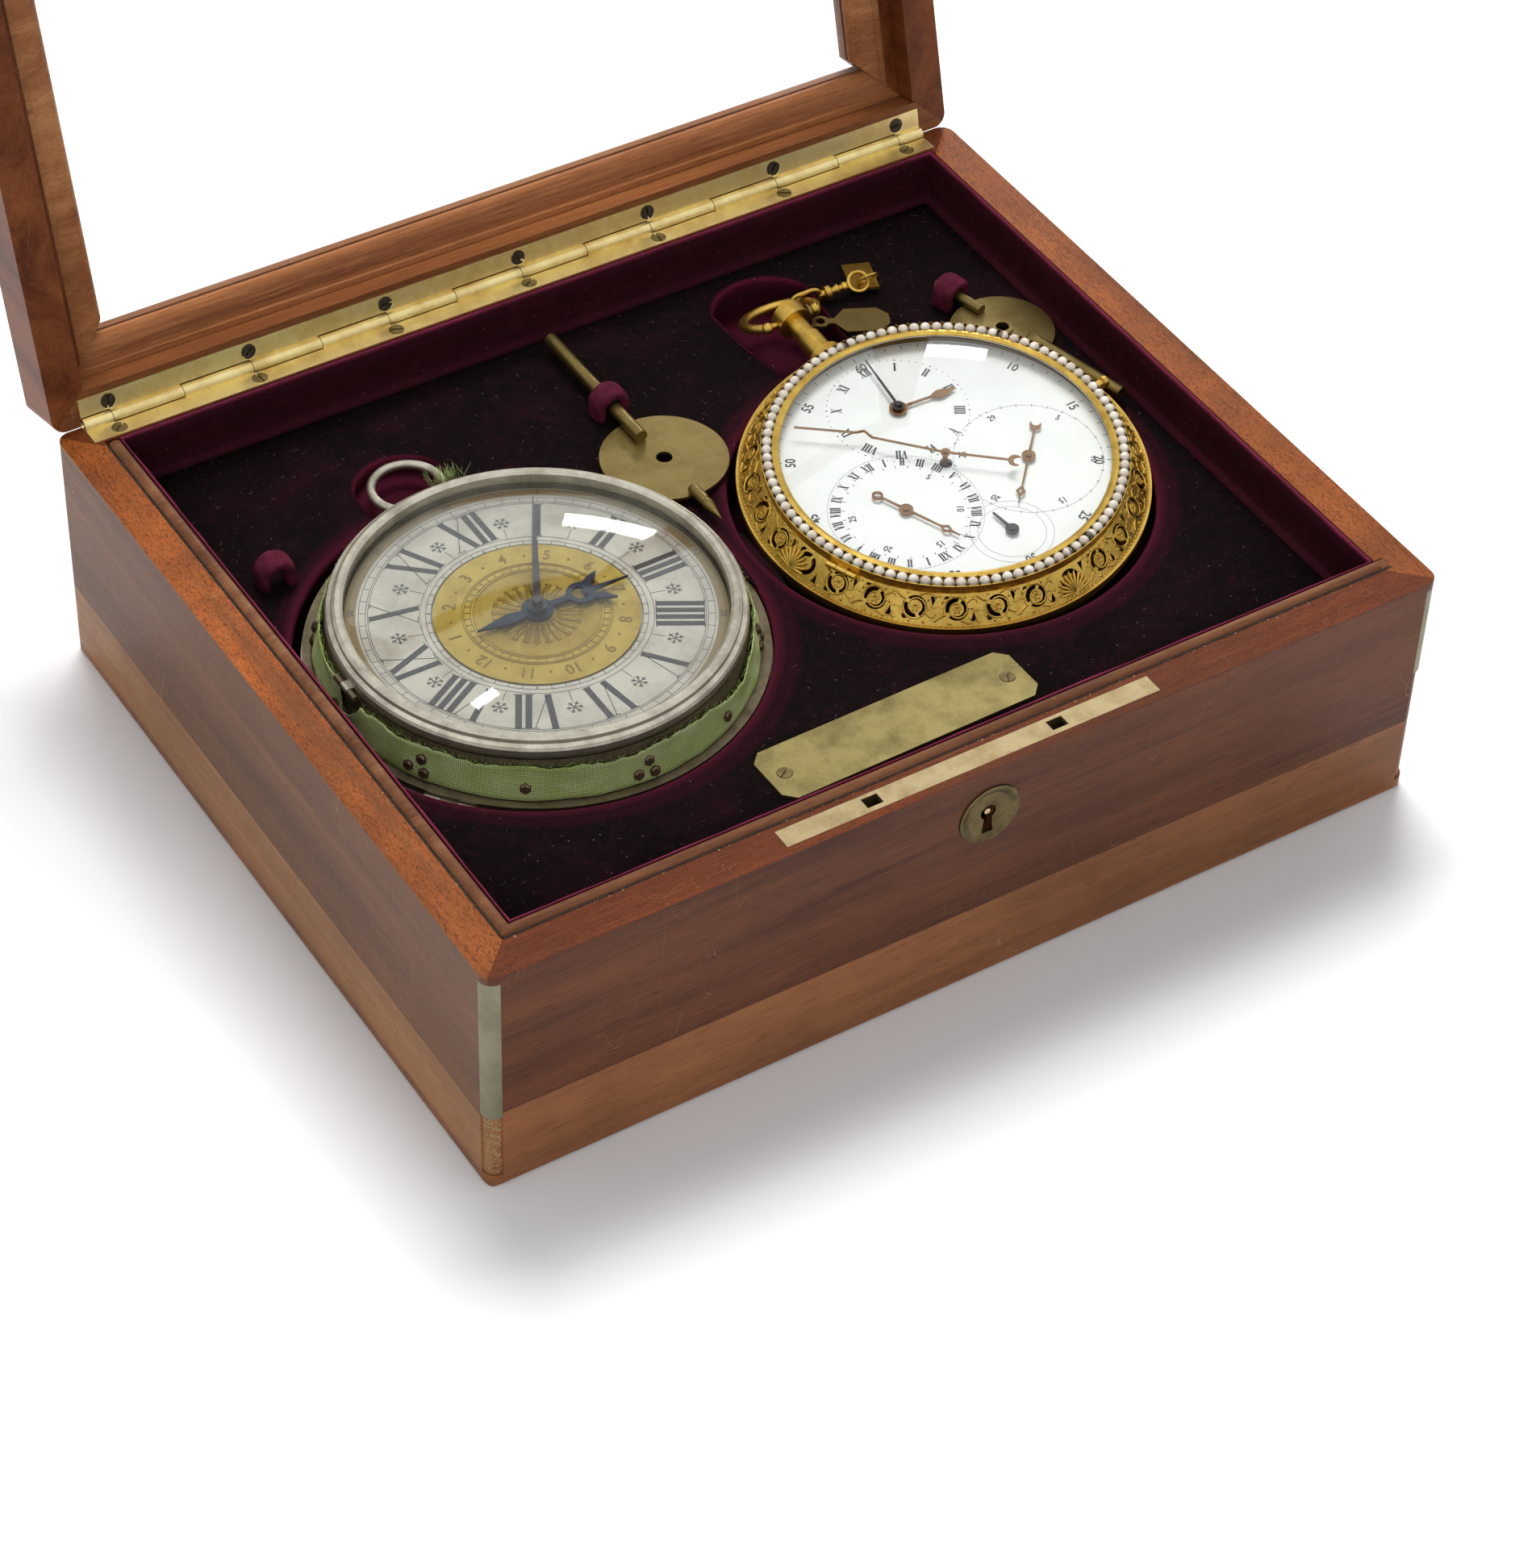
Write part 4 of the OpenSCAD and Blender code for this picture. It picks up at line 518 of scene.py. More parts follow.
class Marks:
    """Thin marks on a dial, laid flat and then given a thickness."""

    def __init__(self):
        self.bm = bmesh.new()

    def stroke(self, start, end, width, at=Matrix(), end_width=None):
        start, end = Vector((*start, 0)), Vector((*end, 0))
        run = end - start
        made = ops.create_grid(self.bm, x_segments=1, y_segments=1, size=0.5)["verts"]
        for corner in made:
            if end_width is not None and corner.co.x > 0:
                corner.co.y *= end_width / width
        ops.transform(self.bm, verts=made, matrix=at @ moved(*(start + end) / 2)
                      @ turned(degrees(atan2(run.y, run.x)))
                      @ Matrix.Diagonal((run.length, width, 1, 1)))

    def tick(self, middle, angle, inner, outer, width):
        self.stroke((0, inner), (0, outer), width, round_place(middle, angle, 0))

    def ring(self, radius, width, at=Matrix()):
        inner, outer = radius - width / 2, radius + width / 2
        made = ops.create_circle(self.bm, segments=120, radius=inner, matrix=at)["verts"]
        corners, _ = grown(self.bm, edges_of(made))
        ops.transform(self.bm, verts=corners,
                      matrix=at @ Matrix.Scale(outer / inner, 4) @ at.inverted())

    def dot(self, radius, at, sides=10):
        ops.create_circle(self.bm, cap_ends=True, segments=sides, radius=radius, matrix=at)

    def number(self, words, size, at, weight=0.0, narrow=1.0):
        curve = bpy.data.curves.new("number", "FONT")
        curve.body = words
        curve.size = size
        curve.align_x = "CENTER"
        curve.align_y = "CENTER"
        curve.offset = weight
        curve.resolution_u = 4
        add_curve(self.bm, curve, at @ Matrix.Diagonal((narrow, 1, 1, 1)))

    def roman(self, words, height, thick, thin, gap, at):
        """Upright Roman numerals with hairline feet, centred on at."""
        broad = {"I": thick, "V": height * 0.48, "X": height * 0.5}
        total = sum(broad[letter] for letter in words) + gap * (len(words) - 1)
        x = -total / 2
        top, foot = height / 2, -height / 2
        for letter in words:
            wide = broad[letter]
            if letter == "I":
                self.stroke((x + wide / 2, foot), (x + wide / 2, top), thick, at)
                feet = [(x - thick * 0.3, x + thick * 1.3, y) for y in (top, foot)]
            else:
                tip = x + wide / 2 if letter == "V" else x + wide
                other = x + wide / 2 if letter == "V" else x
                self.stroke((x + thick / 2, top), (tip - (thick / 2 if letter == "X" else 0), foot),
                            thick, at)
                self.stroke((x + wide, top), (other, foot), thin, at)
                feet = [(x - thick * 0.3, x + thick * 1.2, top),
                        (x + wide - thick * 0.6, x + wide + thick * 0.4, top)]
                if letter == "X":
                    feet += [(left, right, foot) for left, right, _ in feet]
            for left, right, y in feet:
                self.stroke((left, y), (right, y), thin, at)
            x += wide + gap

    def finish(self, name, matrix, material, body, slot, height=0.00004):
        flat = self.bm.faces[:]
        raised = ops.extrude_face_region(self.bm, geom=flat, use_keep_orig=True)["geom"]
        upper = [part for part in raised if isinstance(part, bmesh.types.BMVert)]
        ops.translate(self.bm, vec=(0, 0, height), verts=upper)
        ops.reverse_faces(self.bm, faces=flat)
        ops.transform(self.bm, matrix=matrix, verts=self.bm.verts)
        return piece(name, self.bm, material, body, 0)


def round_place(middle, angle, radius):
    """Where a mark stands on a round dial, its head outwards; 0 degrees is +X."""
    return moved(*middle) @ turned(angle) @ moved(radius, 0) @ turned(-90)


HOURS = ("I", "II", "III", "IIII", "V", "VI", "VII", "VIII", "IX", "X", "XI", "XII")


# ---------- coach watch dial ----------

def coach_dial_marks():
    marks = Marks()
    for hour, words in enumerate(HOURS, 1):
        angle = 90 - 30 * hour
        marks.roman(words, 0.0131, 0.0018, 0.00024, 0.0009, round_place(CENTRE, angle, 0.03865))
        marks.tick(CENTRE, angle - 15, 0.0319, 0.0358, 0.00018)
        star = round_place(CENTRE, angle - 15, 0.0384)
        for arm in range(6):
            spin = star @ turned(60 * arm)
            marks.stroke((0.0001, 0), (0.0023, 0), 0.00024, spin, 0.00042)
            for side in (0.0007, -0.0007):
                marks.stroke((0.0012, 0), (0.0019, side), 0.0002, spin)
        marks.number(str(hour * 5), 0.0027, round_place(CENTRE, angle, 0.0503))
    for radius in (0.0287, 0.0301, 0.0317, 0.0457, 0.0463, 0.0482):
        marks.ring(radius, 0.00016)
    for step in range(60):
        marks.tick(CENTRE, 6 * step, 0.0463, 0.0482, 0.00016)
    for step in range(48):
        marks.tick(CENTRE, 7.5 * step, 0.0287, 0.0301, 0.00018)
    marks.finish("coach_dial_marks", COACH @ moved(0, 0, COACH_DIAL_TOP), WAX,
                 "coach_watch", "steel")
    studs = bmesh.new()
    for hour in range(12):
        add_bead(studs, (0, 0, COACH_DIAL_TOP + 0.0001), (0.0004, 0.0004, 0.0003),
                 COACH @ round_place(CENTRE, 30 * hour, 0.0294))
    piece("hour_studs", studs, SILVER, "coach_watch")


def alarm_disc_marks():
    marks = Marks()
    for hour in range(1, 13):
        angle = 204 - 30 * hour
        marks.number(str(hour), 0.0052, round_place(CENTRE, angle, 0.0238), 0.00006, 0.9)
        marks.dot(0.0004, round_place(CENTRE, angle - 15, 0.0236))
    for radius in (0.0174, 0.0181, 0.0199, 0.0205):
        marks.ring(radius, 0.00022)
    for step in range(48):
        marks.tick(CENTRE, 7.5 * step, 0.0181, 0.0199, 0.0002)
    marks.finish("alarm_disc_marks", COACH @ moved(0, 0, ALARM_TOP),
                 ENGRAVED_GOLD_PAINTED_SHADE, "alarm", "gilt", 0.00012)
    rosette = bmesh.new()
    for step in range(24):
        turn = COACH @ turned(15 * step)
        add_bead(rosette, (0.0085, 0, ALARM_TOP), (0.0034, 0.0009, 0.0005), turn)
        add_bead(rosette, (0.0118, 0, ALARM_TOP), (0.0007, 0.0011, 0.0004), turn)
    piece("alarm_rosette", rosette, ENGRAVED_GOLD_PAINTED_SHADE, "alarm")


# ---------- enamel dial ----------

def enamel_marks():
    marks = Marks()

    def day_number(words, middle, angle, radius):
        marks.number(words, 0.0029, round_place(middle, angle, radius), 0.00006, 0.85)

    for step in range(60):
        marks.tick(CENTRE, 6 * step, 0.0464 if step % 5 else 0.0459, 0.0478, 0.00022)
    for second in range(5, 61, 5):
        marks.number(str(second), 0.0041, round_place(CENTRE, 90 - 6 * second, 0.0434),
                     0.00009, 0.85)
    for hour, words in enumerate(HOURS, 1):
        marks.roman(words, 0.003, 0.00055, 0.00018, 0.0003,
                    round_place(HOUR_DIAL, 90 - 30 * hour, 0.0176))
    for step in range(60):
        marks.dot(0.00019 if step % 5 else 0.00028, round_place(HOUR_DIAL, 6 * step, 0.0204), 6)
    for step in range(24):
        marks.roman(HOURS[(step + 11) % 12], 0.0028, 0.00052, 0.00016, 0.00024,
                    round_place(DATE_DIAL, 90 - 15 * step, 0.0197))
    for day in range(1, 32):
        angle = 90 - 360 / 31 * day
        if day % 5 == 0 and day < 30:
            day_number(str(day), DATE_DIAL, angle, 0.0152)
        marks.tick(DATE_DIAL, angle, 0.0171, 0.018, 0.0002)
    for step in range(96):
        marks.dot(0.00012, round_place(DATE_DIAL, 3.75 * step, 0.0215), 5)
    for day in range(30):
        angle = 90 - 360 / 29.5 * day
        marks.tick(MOON_DIAL, angle, 0.0207, 0.0216, 0.0002)
        if day and day % 5 == 0:
            day_number(str(day), MOON_DIAL, angle, 0.0185)
    day_number("29", MOON_DIAL, 90, 0.0185)
    marks.finish("enamel_dial_marks", GILT @ moved(0, 0, ENAMEL_TOP), DIAL_INK,
                 "gilt_watch", "steel", 0.00003)
    faint = Marks()
    for radius in (0.0096, 0.0118):
        faint.ring(radius, 0.00014, moved(*STRIKE_DIAL))
    faint.ring(0.0212, 0.00014, moved(*MOON_DIAL))
    faint.ring(0.022, 0.00013, moved(*DATE_DIAL))
    faint.ring(0.0479, 0.0001)
    faint.finish("enamel_dial_lines", GILT @ moved(0, 0, ENAMEL_TOP),
                 ink("faint ink", (130, 130, 132)), "gilt_watch", "steel", 0.00003)


# ---------- velvet ----------

class Hollow:
    """A round well in the velvet with a pocket that opens out of it towards +Y."""

    def __init__(self, middle, radius, pocket, pocket_radius, pocket_depth, depth,
                 hug, lean, lean_way):
        self.middle = Vector(middle)
        self.radius, self.pocket_radius = radius, pocket_radius
        self.depth, self.pocket_depth = depth, pocket_depth
        reach = Vector(pocket) - self.middle
        self.reach, self.heading = reach.length, atan2(reach.y, reach.x)
        self.hug, self.lean, self.lean_way = hug, lean, radians(lean_way)

    def outline(self, angle, squeeze=0.0):
        """How far the edge is from the middle in a direction."""
        aside = abs((angle - self.heading + pi) % (2 * pi) - pi)
        limit = asin(self.pocket_radius / self.reach)
        hug = squeeze * (self.hug + self.lean * cos(angle - self.lean_way))
        if aside >= limit:
            return self.radius - hug, 0.0
        far = self.reach * cos(aside) + sqrt(
            self.pocket_radius ** 2 - (self.reach * sin(aside)) ** 2)
        share = min(1.0, (limit - aside) / radians(1.6))
        share = share * share * (3 - 2 * share)
        return (self.radius - hug) * (1 - share) + far * share, share

    def lay(self, corners, offset, drop, pocket=True, squeeze=0.0):
        """Puts a ring of corners offset outside the edge, at a depth below the floor."""
        for corner in corners:
            away = corner.co.xy - self.middle
            angle = atan2(away.y, away.x)
            radius, share = self.outline(angle, squeeze) if pocket else (self.radius, 0.0)
            radius += offset * (1 - 0.6 * share)
            corner.co.xy = self.middle + Vector((cos(angle), sin(angle))) * radius
            corner.co.z = VELVET_TOP - drop


HOLLOWS = (
    Hollow((-0.067, -0.0037), 0.0672, (-0.0674, 0.0694), 0.0148, 0.005, 0.0352,
           0.0019, 0.0012, -20),
    Hollow((0.0644, -0.0061), 0.0626, (0.065, 0.086), 0.0175, 0.0113, 0.021,
           0.0019, 0.0004, -60),
)
# The rolled edge of a well: outwards from its wall, down from the floor, how much painted
# highlight it gets, and how far the stuffing presses it in on the watch
ROLL = ((0.0056, 0.0, 0.0, 0.0), (0.0046, -0.0001, 0.1, 0.4), (0.0034, -0.0005, 0.1, 0.8),
        (0.002, -0.0007, 0.3, 1.0), (0.001, -0.0003, 0.6, 1.0), (0.0003, 0.0005, 0.5, 1.0),
        (0.0001, 0.0012, 0.3, 0.9), (0.0, 0.004, 0.15, 0.4))


def velvet_floor():
    bm = bmesh.new()
    painted_highlight = bm.verts.layers.float.new("painted_highlight")
    low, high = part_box("velvet_tray")
    for corner in ops.create_grid(bm, x_segments=1, y_segments=1, size=0.5)["verts"]:
        corner.co = (low[0] if corner.co.x < 0 else high[0],
                     low[1] if corner.co.y < 0 else high[1], VELVET_TOP)
    ops.delete(bm, geom=bm.faces[:], context="FACES_ONLY")
    border = bm.edges[:]
    for hollow in HOLLOWS:
        corners = ops.create_circle(bm, segments=300, radius=1,
                                    matrix=moved(*hollow.middle))["verts"]
        edges = edges_of(corners)
        hollow.lay(corners, ROLL[0][0], ROLL[0][1])
        border += edges
        steps = [(offset, drop, painted_light, True, squeeze) for offset, drop, painted_light, squeeze in ROLL[1:]]
        steps += [(0.0, hollow.pocket_depth, 0.3, True, 0.0),
                  (0.0001, hollow.pocket_depth, 0.15, False, 0.0),
                  (0.0, hollow.pocket_depth + 0.001, 0.1, False, 0.0),
                  (0.0, hollow.depth, 0.05, False, 0.0)]
        # Each ring gets its share of painted highlight: most round the rolled edge and in the
        # pocket, less deeper down the well
        for offset, drop, painted_light, pocket, squeeze in steps:
            corners, edges = grown(bm, edges)
            hollow.lay(corners, offset, drop, pocket, squeeze)
            for corner in corners:
                away = corner.co.xy - hollow.middle
                inside = hollow.outline(atan2(away.y, away.x))[1] if pocket else 0.0
                corner[painted_highlight] = min(1.0, painted_light * (1 + 0.9 * inside))
        ops.contextual_create(bm, geom=edges)
    ops.triangle_fill(bm, use_beauty=True, edges=border, normal=(0, 0, 1))
    ops.recalc_face_normals(bm, faces=bm.faces)
    for face in bm.faces:
        if face.calc_center_median().z > VELVET_TOP - 0.0001 and face.normal.z < 0:
            face.normal_flip()
    made = piece("velvet_floor", bm, VELVET_FLOOR, "case", 60)
    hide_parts("velvet_tray", "velvet_wells")
    thicken(made, 0.0005)


def velvet_walls():
    bm = bmesh.new()
    painted_highlight = bm.verts.layers.float.new("painted_highlight")
    low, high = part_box("velvet_walls")
    ops.create_grid(bm, x_segments=1, y_segments=1, size=0.5)
    ops.delete(bm, geom=bm.faces[:], context="FACES_ONLY")
    ops.subdivide_edges(bm, edges=bm.edges[:], cuts=47)
    unit = [(corner, corner.co.xy.copy()) for corner in bm.verts]
    edges = bm.edges[:]
    # Each step: inwards from the wood, up from the floor, and how much painted highlight it gets
    steps = ((0.0035, 0.0003, 0.0), (0.0018, 0.0008, 0.1), (0.0011, 0.002, 0.0),
             (0.0009, 0.006, 0.0), (0.0009, 0.011, 0.0), (0.001, 0.0152, 0.1),
             (0.0009, 0.0163, 0.8), (0.0004, 0.0167, 1.0), (0.0001, 0.0163, 0.6))
    top = high[2] - low[2]
    for level, (inward, up, painted_light) in enumerate(steps):
        if level:
            corners, edges = grown(bm, edges)
            unit = [(corner, min(unit, key=lambda old: (old[0].co - corner.co).length_squared)[1])
                    for corner in corners]
        for corner, flat in unit:
            ripple = 0.00025 * noise.noise(Vector((flat.x * 24, flat.y * 24, up * 90)))
            inset = inward + (ripple if 0 < level < 7 else 0)
            x, y = (min(max(low[axis] + (flat[axis] + 0.5) * (high[axis] - low[axis]),
                            low[axis] + inset), high[axis] - inset) for axis in (0, 1))
            corner[painted_highlight] = painted_light
            corner.co = (x, y, low[2] + min(up, top))
    ops.recalc_face_normals(bm, faces=bm.faces)
    middle = (Vector(low) + Vector(high)) / 2
    facing = sum((middle - face.calc_center_median()).dot(face.normal) for face in bm.faces)
    if facing < 0:
        ops.reverse_faces(bm, faces=bm.faces[:])
    made = piece("velvet_lining", bm, VELVET_WALL, "case", 60)
    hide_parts("velvet_walls")
    thicken(made, 0.00042)


def on_floor(x, y):
    """Whether a spot is on the flat velvet, clear of the wells and pockets."""
    ways = [(Vector((x, y)) - hollow.middle, hollow) for hollow in HOLLOWS]
    return all(away.length >= hollow.outline(atan2(away.y, away.x))[0] + 0.001
               for away, hollow in ways)


def lint():
    """Dust and stray threads caught on the velvet."""
    bm = bmesh.new()
    low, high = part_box("velvet_tray")
    while len(bm.faces) < 6400:
        x, y = (chance.uniform(low[axis] + 0.002, high[axis] - 0.002) for axis in (0, 1))
        if not on_floor(x, y):
            continue
        length = min(0.0024, chance.expovariate(2400) + 0.00015)
        way = turned(chance.uniform(0, 360)) @ turned(chance.uniform(80, 90), "Y")
        thick = chance.uniform(0.00003, 0.00006)
        add_hair(bm, thick, thick * 0.6, length, moved(x, y, VELVET_TOP + 0.0003) @ way)
    piece("velvet_lint", bm, ink("lint", (104, 78, 74), 0.9), "case", 180)


# The empty rebate at the left front corner: its axis and its radius
REBATE_AXIS = (-0.1458, -0.1178)
REBATE_RADIUS = 0.00362


def crumbs():
    """Bits of old glue and veneer in the seam round the lip and in the empty rebate."""
    bm = bmesh.new()
    low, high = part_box("rim_lips")
    for _ in range(420):
        along = chance.random()
        jitter = chance.gauss(0, 0.00035)
        if chance.random() < 0.6:
            x, y = low[0] + along * (high[0] - low[0]), low[1] + jitter
        else:
            x, y = low[0] + jitter, low[1] + along * (high[1] - low[1])
        add_crumb(bm, chance.uniform(0.00008, 0.00032), (1, 1, 0.25),
                  moved(x, y, RIM_TOP + 0.00001))
    for _ in range(260):
        turn, level = chance.uniform(182, 268), chance.uniform(0.0045, 0.0256)
        add_crumb(bm, chance.uniform(0.00012, 0.00045), (0.3, 1, 1),
                  moved(*REBATE_AXIS, level) @ turned(turn) @ moved(REBATE_RADIUS, 0))
    piece("seam_crumbs", bm, ink("old glue", (152, 124, 84), 0.9), "case", 0)
    # A thin dark strip along the seam between lip and rim: painted shadow of the gap
    seam = bmesh.new()
    long, deep = high[0] - low[0], high[1] - low[1]
    for x, y, size in ((low[0] + long / 2, low[1], (long, 0.0008)),
                       (low[0], low[1] + deep / 2, (0.0008, deep))):
        ops.create_cube(seam, size=1, matrix=moved(x, y, RIM_TOP + 0.00003)
                        @ Matrix.Diagonal((*size, 0.0001, 1)))
    piece("seam_shadow", seam, ink("seam painted shadow", (34, 22, 16), 0.95), "case", 0)


LOOPS = (((-0.0002, 0.0709), 0, 0.0024, 0.0), ((0.115, 0.062), 14.2, 0.0021, 0.0028),
         ((-0.1173, 0.0534), -5, 0.0024, 0.0))
LOOP_AXIS = 0.0044
LOOP_WIDTH = 0.0076


def padded_loop(number, place, turn, bore, along):
    """A stuffed velvet loop: an arch of padding on two short legs."""
    bm = bmesh.new()
    painted_highlight = bm.verts.layers.float.new("painted_highlight")
    half_wall = 0.0016
    profile = ops.create_circle(bm, segments=20, radius=1)["verts"]
    for corner in profile:
        x, y, _ = corner.co
        corner.co.x = (copysign(abs(x) ** 0.75, x) + 1) * half_wall + bore
        corner.co.y = copysign(abs(y) ** 0.7, y) * LOOP_WIDTH / 2
    edges = bm.edges[:]
    arch = ops.spin(bm, geom=profile + edges, cent=(0, 0, 0), axis=(0, 1, 0), angle=-pi,
                    steps=16)["geom_last"]
    for loop in (edges, ring_of(arch)[1]):
        for drop in (LOOP_AXIS * 0.6, LOOP_AXIS * 0.45):
            corners, loop = grown(bm, loop)
            ops.translate(bm, vec=(0, 0, -drop), verts=corners)
        ops.contextual_create(bm, geom=loop)
    ops.recalc_face_normals(bm, faces=bm.faces)
    for corner in bm.verts:
        puff = noise.noise(corner.co * 420 + Vector((number * 7, 0, 0)))
        corner.co += corner.normal * (0.00018 * puff)
        # Painted highlight on the loop, stronger where the padding puffs out
        corner[painted_highlight] = 0.35 + 0.3 * puff
    ops.transform(bm, matrix=moved(*place, VELVET_TOP) @ turned(turn)
                  @ moved(0, along, LOOP_AXIS), verts=bm.verts)
    made = piece(f"key_loop_{number}", bm, VELVET_WALL, "case", 180)
    soft = made.modifiers.new("soft", "SUBSURF")
    soft.levels = soft.render_levels = 1
    return made


# ---------- green ribbon ----------

RIBBON_LOW = 0.0607
RIBBON_HIGH = 0.0708
RIBBON_RADIUS = 0.0595
BAND = ((0.0606, 0.0604), (0.0572, 0.0713))


def band_radius(height):
    (wide, low), (narrow, high) = BAND
    return wide + (narrow - wide) * (height - low) / (high - low)


def torn(angle):
    """How far the ribbon's top edge has worn down at an angle in degrees."""
    along = Vector((cos(radians(angle)), sin(radians(angle)), 0))
    wear = 0.0009 * (0.5 + noise.noise(along * 5)) + 0.0005 * noise.noise(along * 31)
    for middle, spread, depth in ((182, 5.5, 0.0052), (305, 14, 0.0022), (262, 9, 0.0012)):
        aside = abs((angle - middle + 180) % 360 - 180)
        if aside < spread:
            wear += depth * (1 - (aside / spread) ** 2)
    return max(0.0, wear)


def ribbon():
    bm = bmesh.new()
    corners = ops.create_circle(bm, segments=480, radius=1)["verts"]
    edges = bm.edges[:]
    rows = 8
    for row in range(rows + 1):
        if row:
            corners, edges = grown(bm, edges)
        for corner in corners:
            turn = atan2(corner.co.y, corner.co.x)
            angle, x, y = degrees(turn), cos(turn), sin(turn)
            top = RIBBON_HIGH - torn(angle)
            height = RIBBON_LOW + (top - RIBBON_LOW) * row / rows
            swell = 0.00035 + 0.0005 * noise.noise(Vector((x * 9, y * 9, height * 260)))
            lift = 0.0006 * (row / rows) ** 3 * (1 + noise.noise(Vector((angle * 0.11, 0, 3))))
            radius = band_radius(height) + 0.0003 + max(0.0, swell) + lift
            corner.co = (radius * x, radius * y, height)
    ops.recalc_face_normals(bm, faces=bm.faces)
    weave = bm.loops.layers.uv.new("weave")
    for face in bm.faces:
        angles = [atan2(loop.vert.co.y, loop.vert.co.x) for loop in face.loops]
        if max(angles) - min(angles) > pi:
            angles = [angle % (2 * pi) for angle in angles]
        for loop, angle in zip(face.loops, angles):
            loop[weave].uv = (angle * RIBBON_RADIUS, loop.vert.co.z)
    ops.transform(bm, matrix=COACH, verts=bm.verts)
    made = piece("silk_ribbon", bm, SILK, "coach_watch", 180)
    thicken(made, 0.0003, 1)
    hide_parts("coach_ribbon")
    fray = bmesh.new()
    for _ in range(900):
        angle = chance.uniform(0, 360)
        top = RIBBON_HIGH - torn(angle)
        length = chance.uniform(0.0006, 0.0022)
        lean = chance.uniform(-50, 50)
        tilt = chance.uniform(-10, 45)
        add_hair(fray, 0.00011, 0.00003, length,
                 COACH @ turned(angle) @ moved(band_radius(top) + 0.0008, 0, top - 0.0003)
                 @ turned(lean, "X") @ turned(tilt, "Y") @ moved(0, 0, length / 2))
    # A tuft of longer threads behind, where the ends of the ribbon meet
    for _ in range(60):
        length = chance.uniform(0.003, 0.006)
        root = COACH @ turned(chance.gauss(86, 2.2)) @ moved(0.0585, 0, 0.0735)
        way = turned(chance.gauss(0, 28), "X") @ turned(chance.uniform(5, 60), "Y")
        add_hair(fray, 0.0001, 0.00003, length, root @ way @ moved(0, 0, length / 2))
    fringe = piece("ribbon_fray", fray, ink("frayed silk", (150, 168, 96), 0.8), "coach_watch",
                   180)


# ---------- gilt case ornament ----------

BAND_FOOT = (0.058, 0.0008)
BAND_HEAD = (0.0516, 0.0082)
BAND_SLOPE = hypot(BAND_FOOT[0] - BAND_HEAD[0], BAND_HEAD[1] - BAND_FOOT[1])


def on_band(angle, up, out):
    """A point on the pierced band: degrees round, metres up its slope and out of it."""
    share = up / BAND_SLOPE + 0.5
    lean = Vector((BAND_HEAD[1] - BAND_FOOT[1], BAND_FOOT[0] - BAND_HEAD[0])).normalized()
    radius = BAND_FOOT[0] + (BAND_HEAD[0] - BAND_FOOT[0]) * share + lean.x * out
    height = BAND_FOOT[1] + (BAND_HEAD[1] - BAND_FOOT[1]) * share + lean.y * out
    turn = radians(angle)
    return Vector((radius * cos(turn), radius * sin(turn), height))


def band_matrix(angle, up, out, spin):
    """A frame on the watch's band: X round it, Y up its slope, Z out of it."""
    step = 0.01
    origin = on_band(angle, up, out)
    x = (on_band(angle + step, up, out) - on_band(angle - step, up, out)).normalized()
    z = (on_band(angle, up, out + 0.001) - origin).normalized()
    y = z.cross(x)
    base = Matrix((x, y, z)).transposed().to_4x4()
    return GILT @ moved(*origin) @ base @ turned(spin)


CELLS = 30
SHELLS = (8, 98, 188, 276)
# In a cell: two tendrils' points, and the leaves' places and turns
TENDRILS = (((0.0028, 0.0016), (0.0042, 0.0026), (0.0054, 0.0024), (0.0057, 0.0014)),
            ((0.001, -0.0033), (0.003, -0.0041), (0.0049, -0.0036), (0.0054, -0.0024)))
LEAVES = ((-0.0036, 0.0022, 40), (-0.0042, 0.0005, 5), (0.0036, 0.0003, -30),
          (0.0024, 0.0036, 75), (-0.0012, 0.0037, 110), (0.0036, -0.0026, -70),
          (-0.0022, -0.0039, 150), (0.0052, 0.0034, 20), (-0.0054, 0.0036, 160),
          (0.0052, -0.0004, -10))


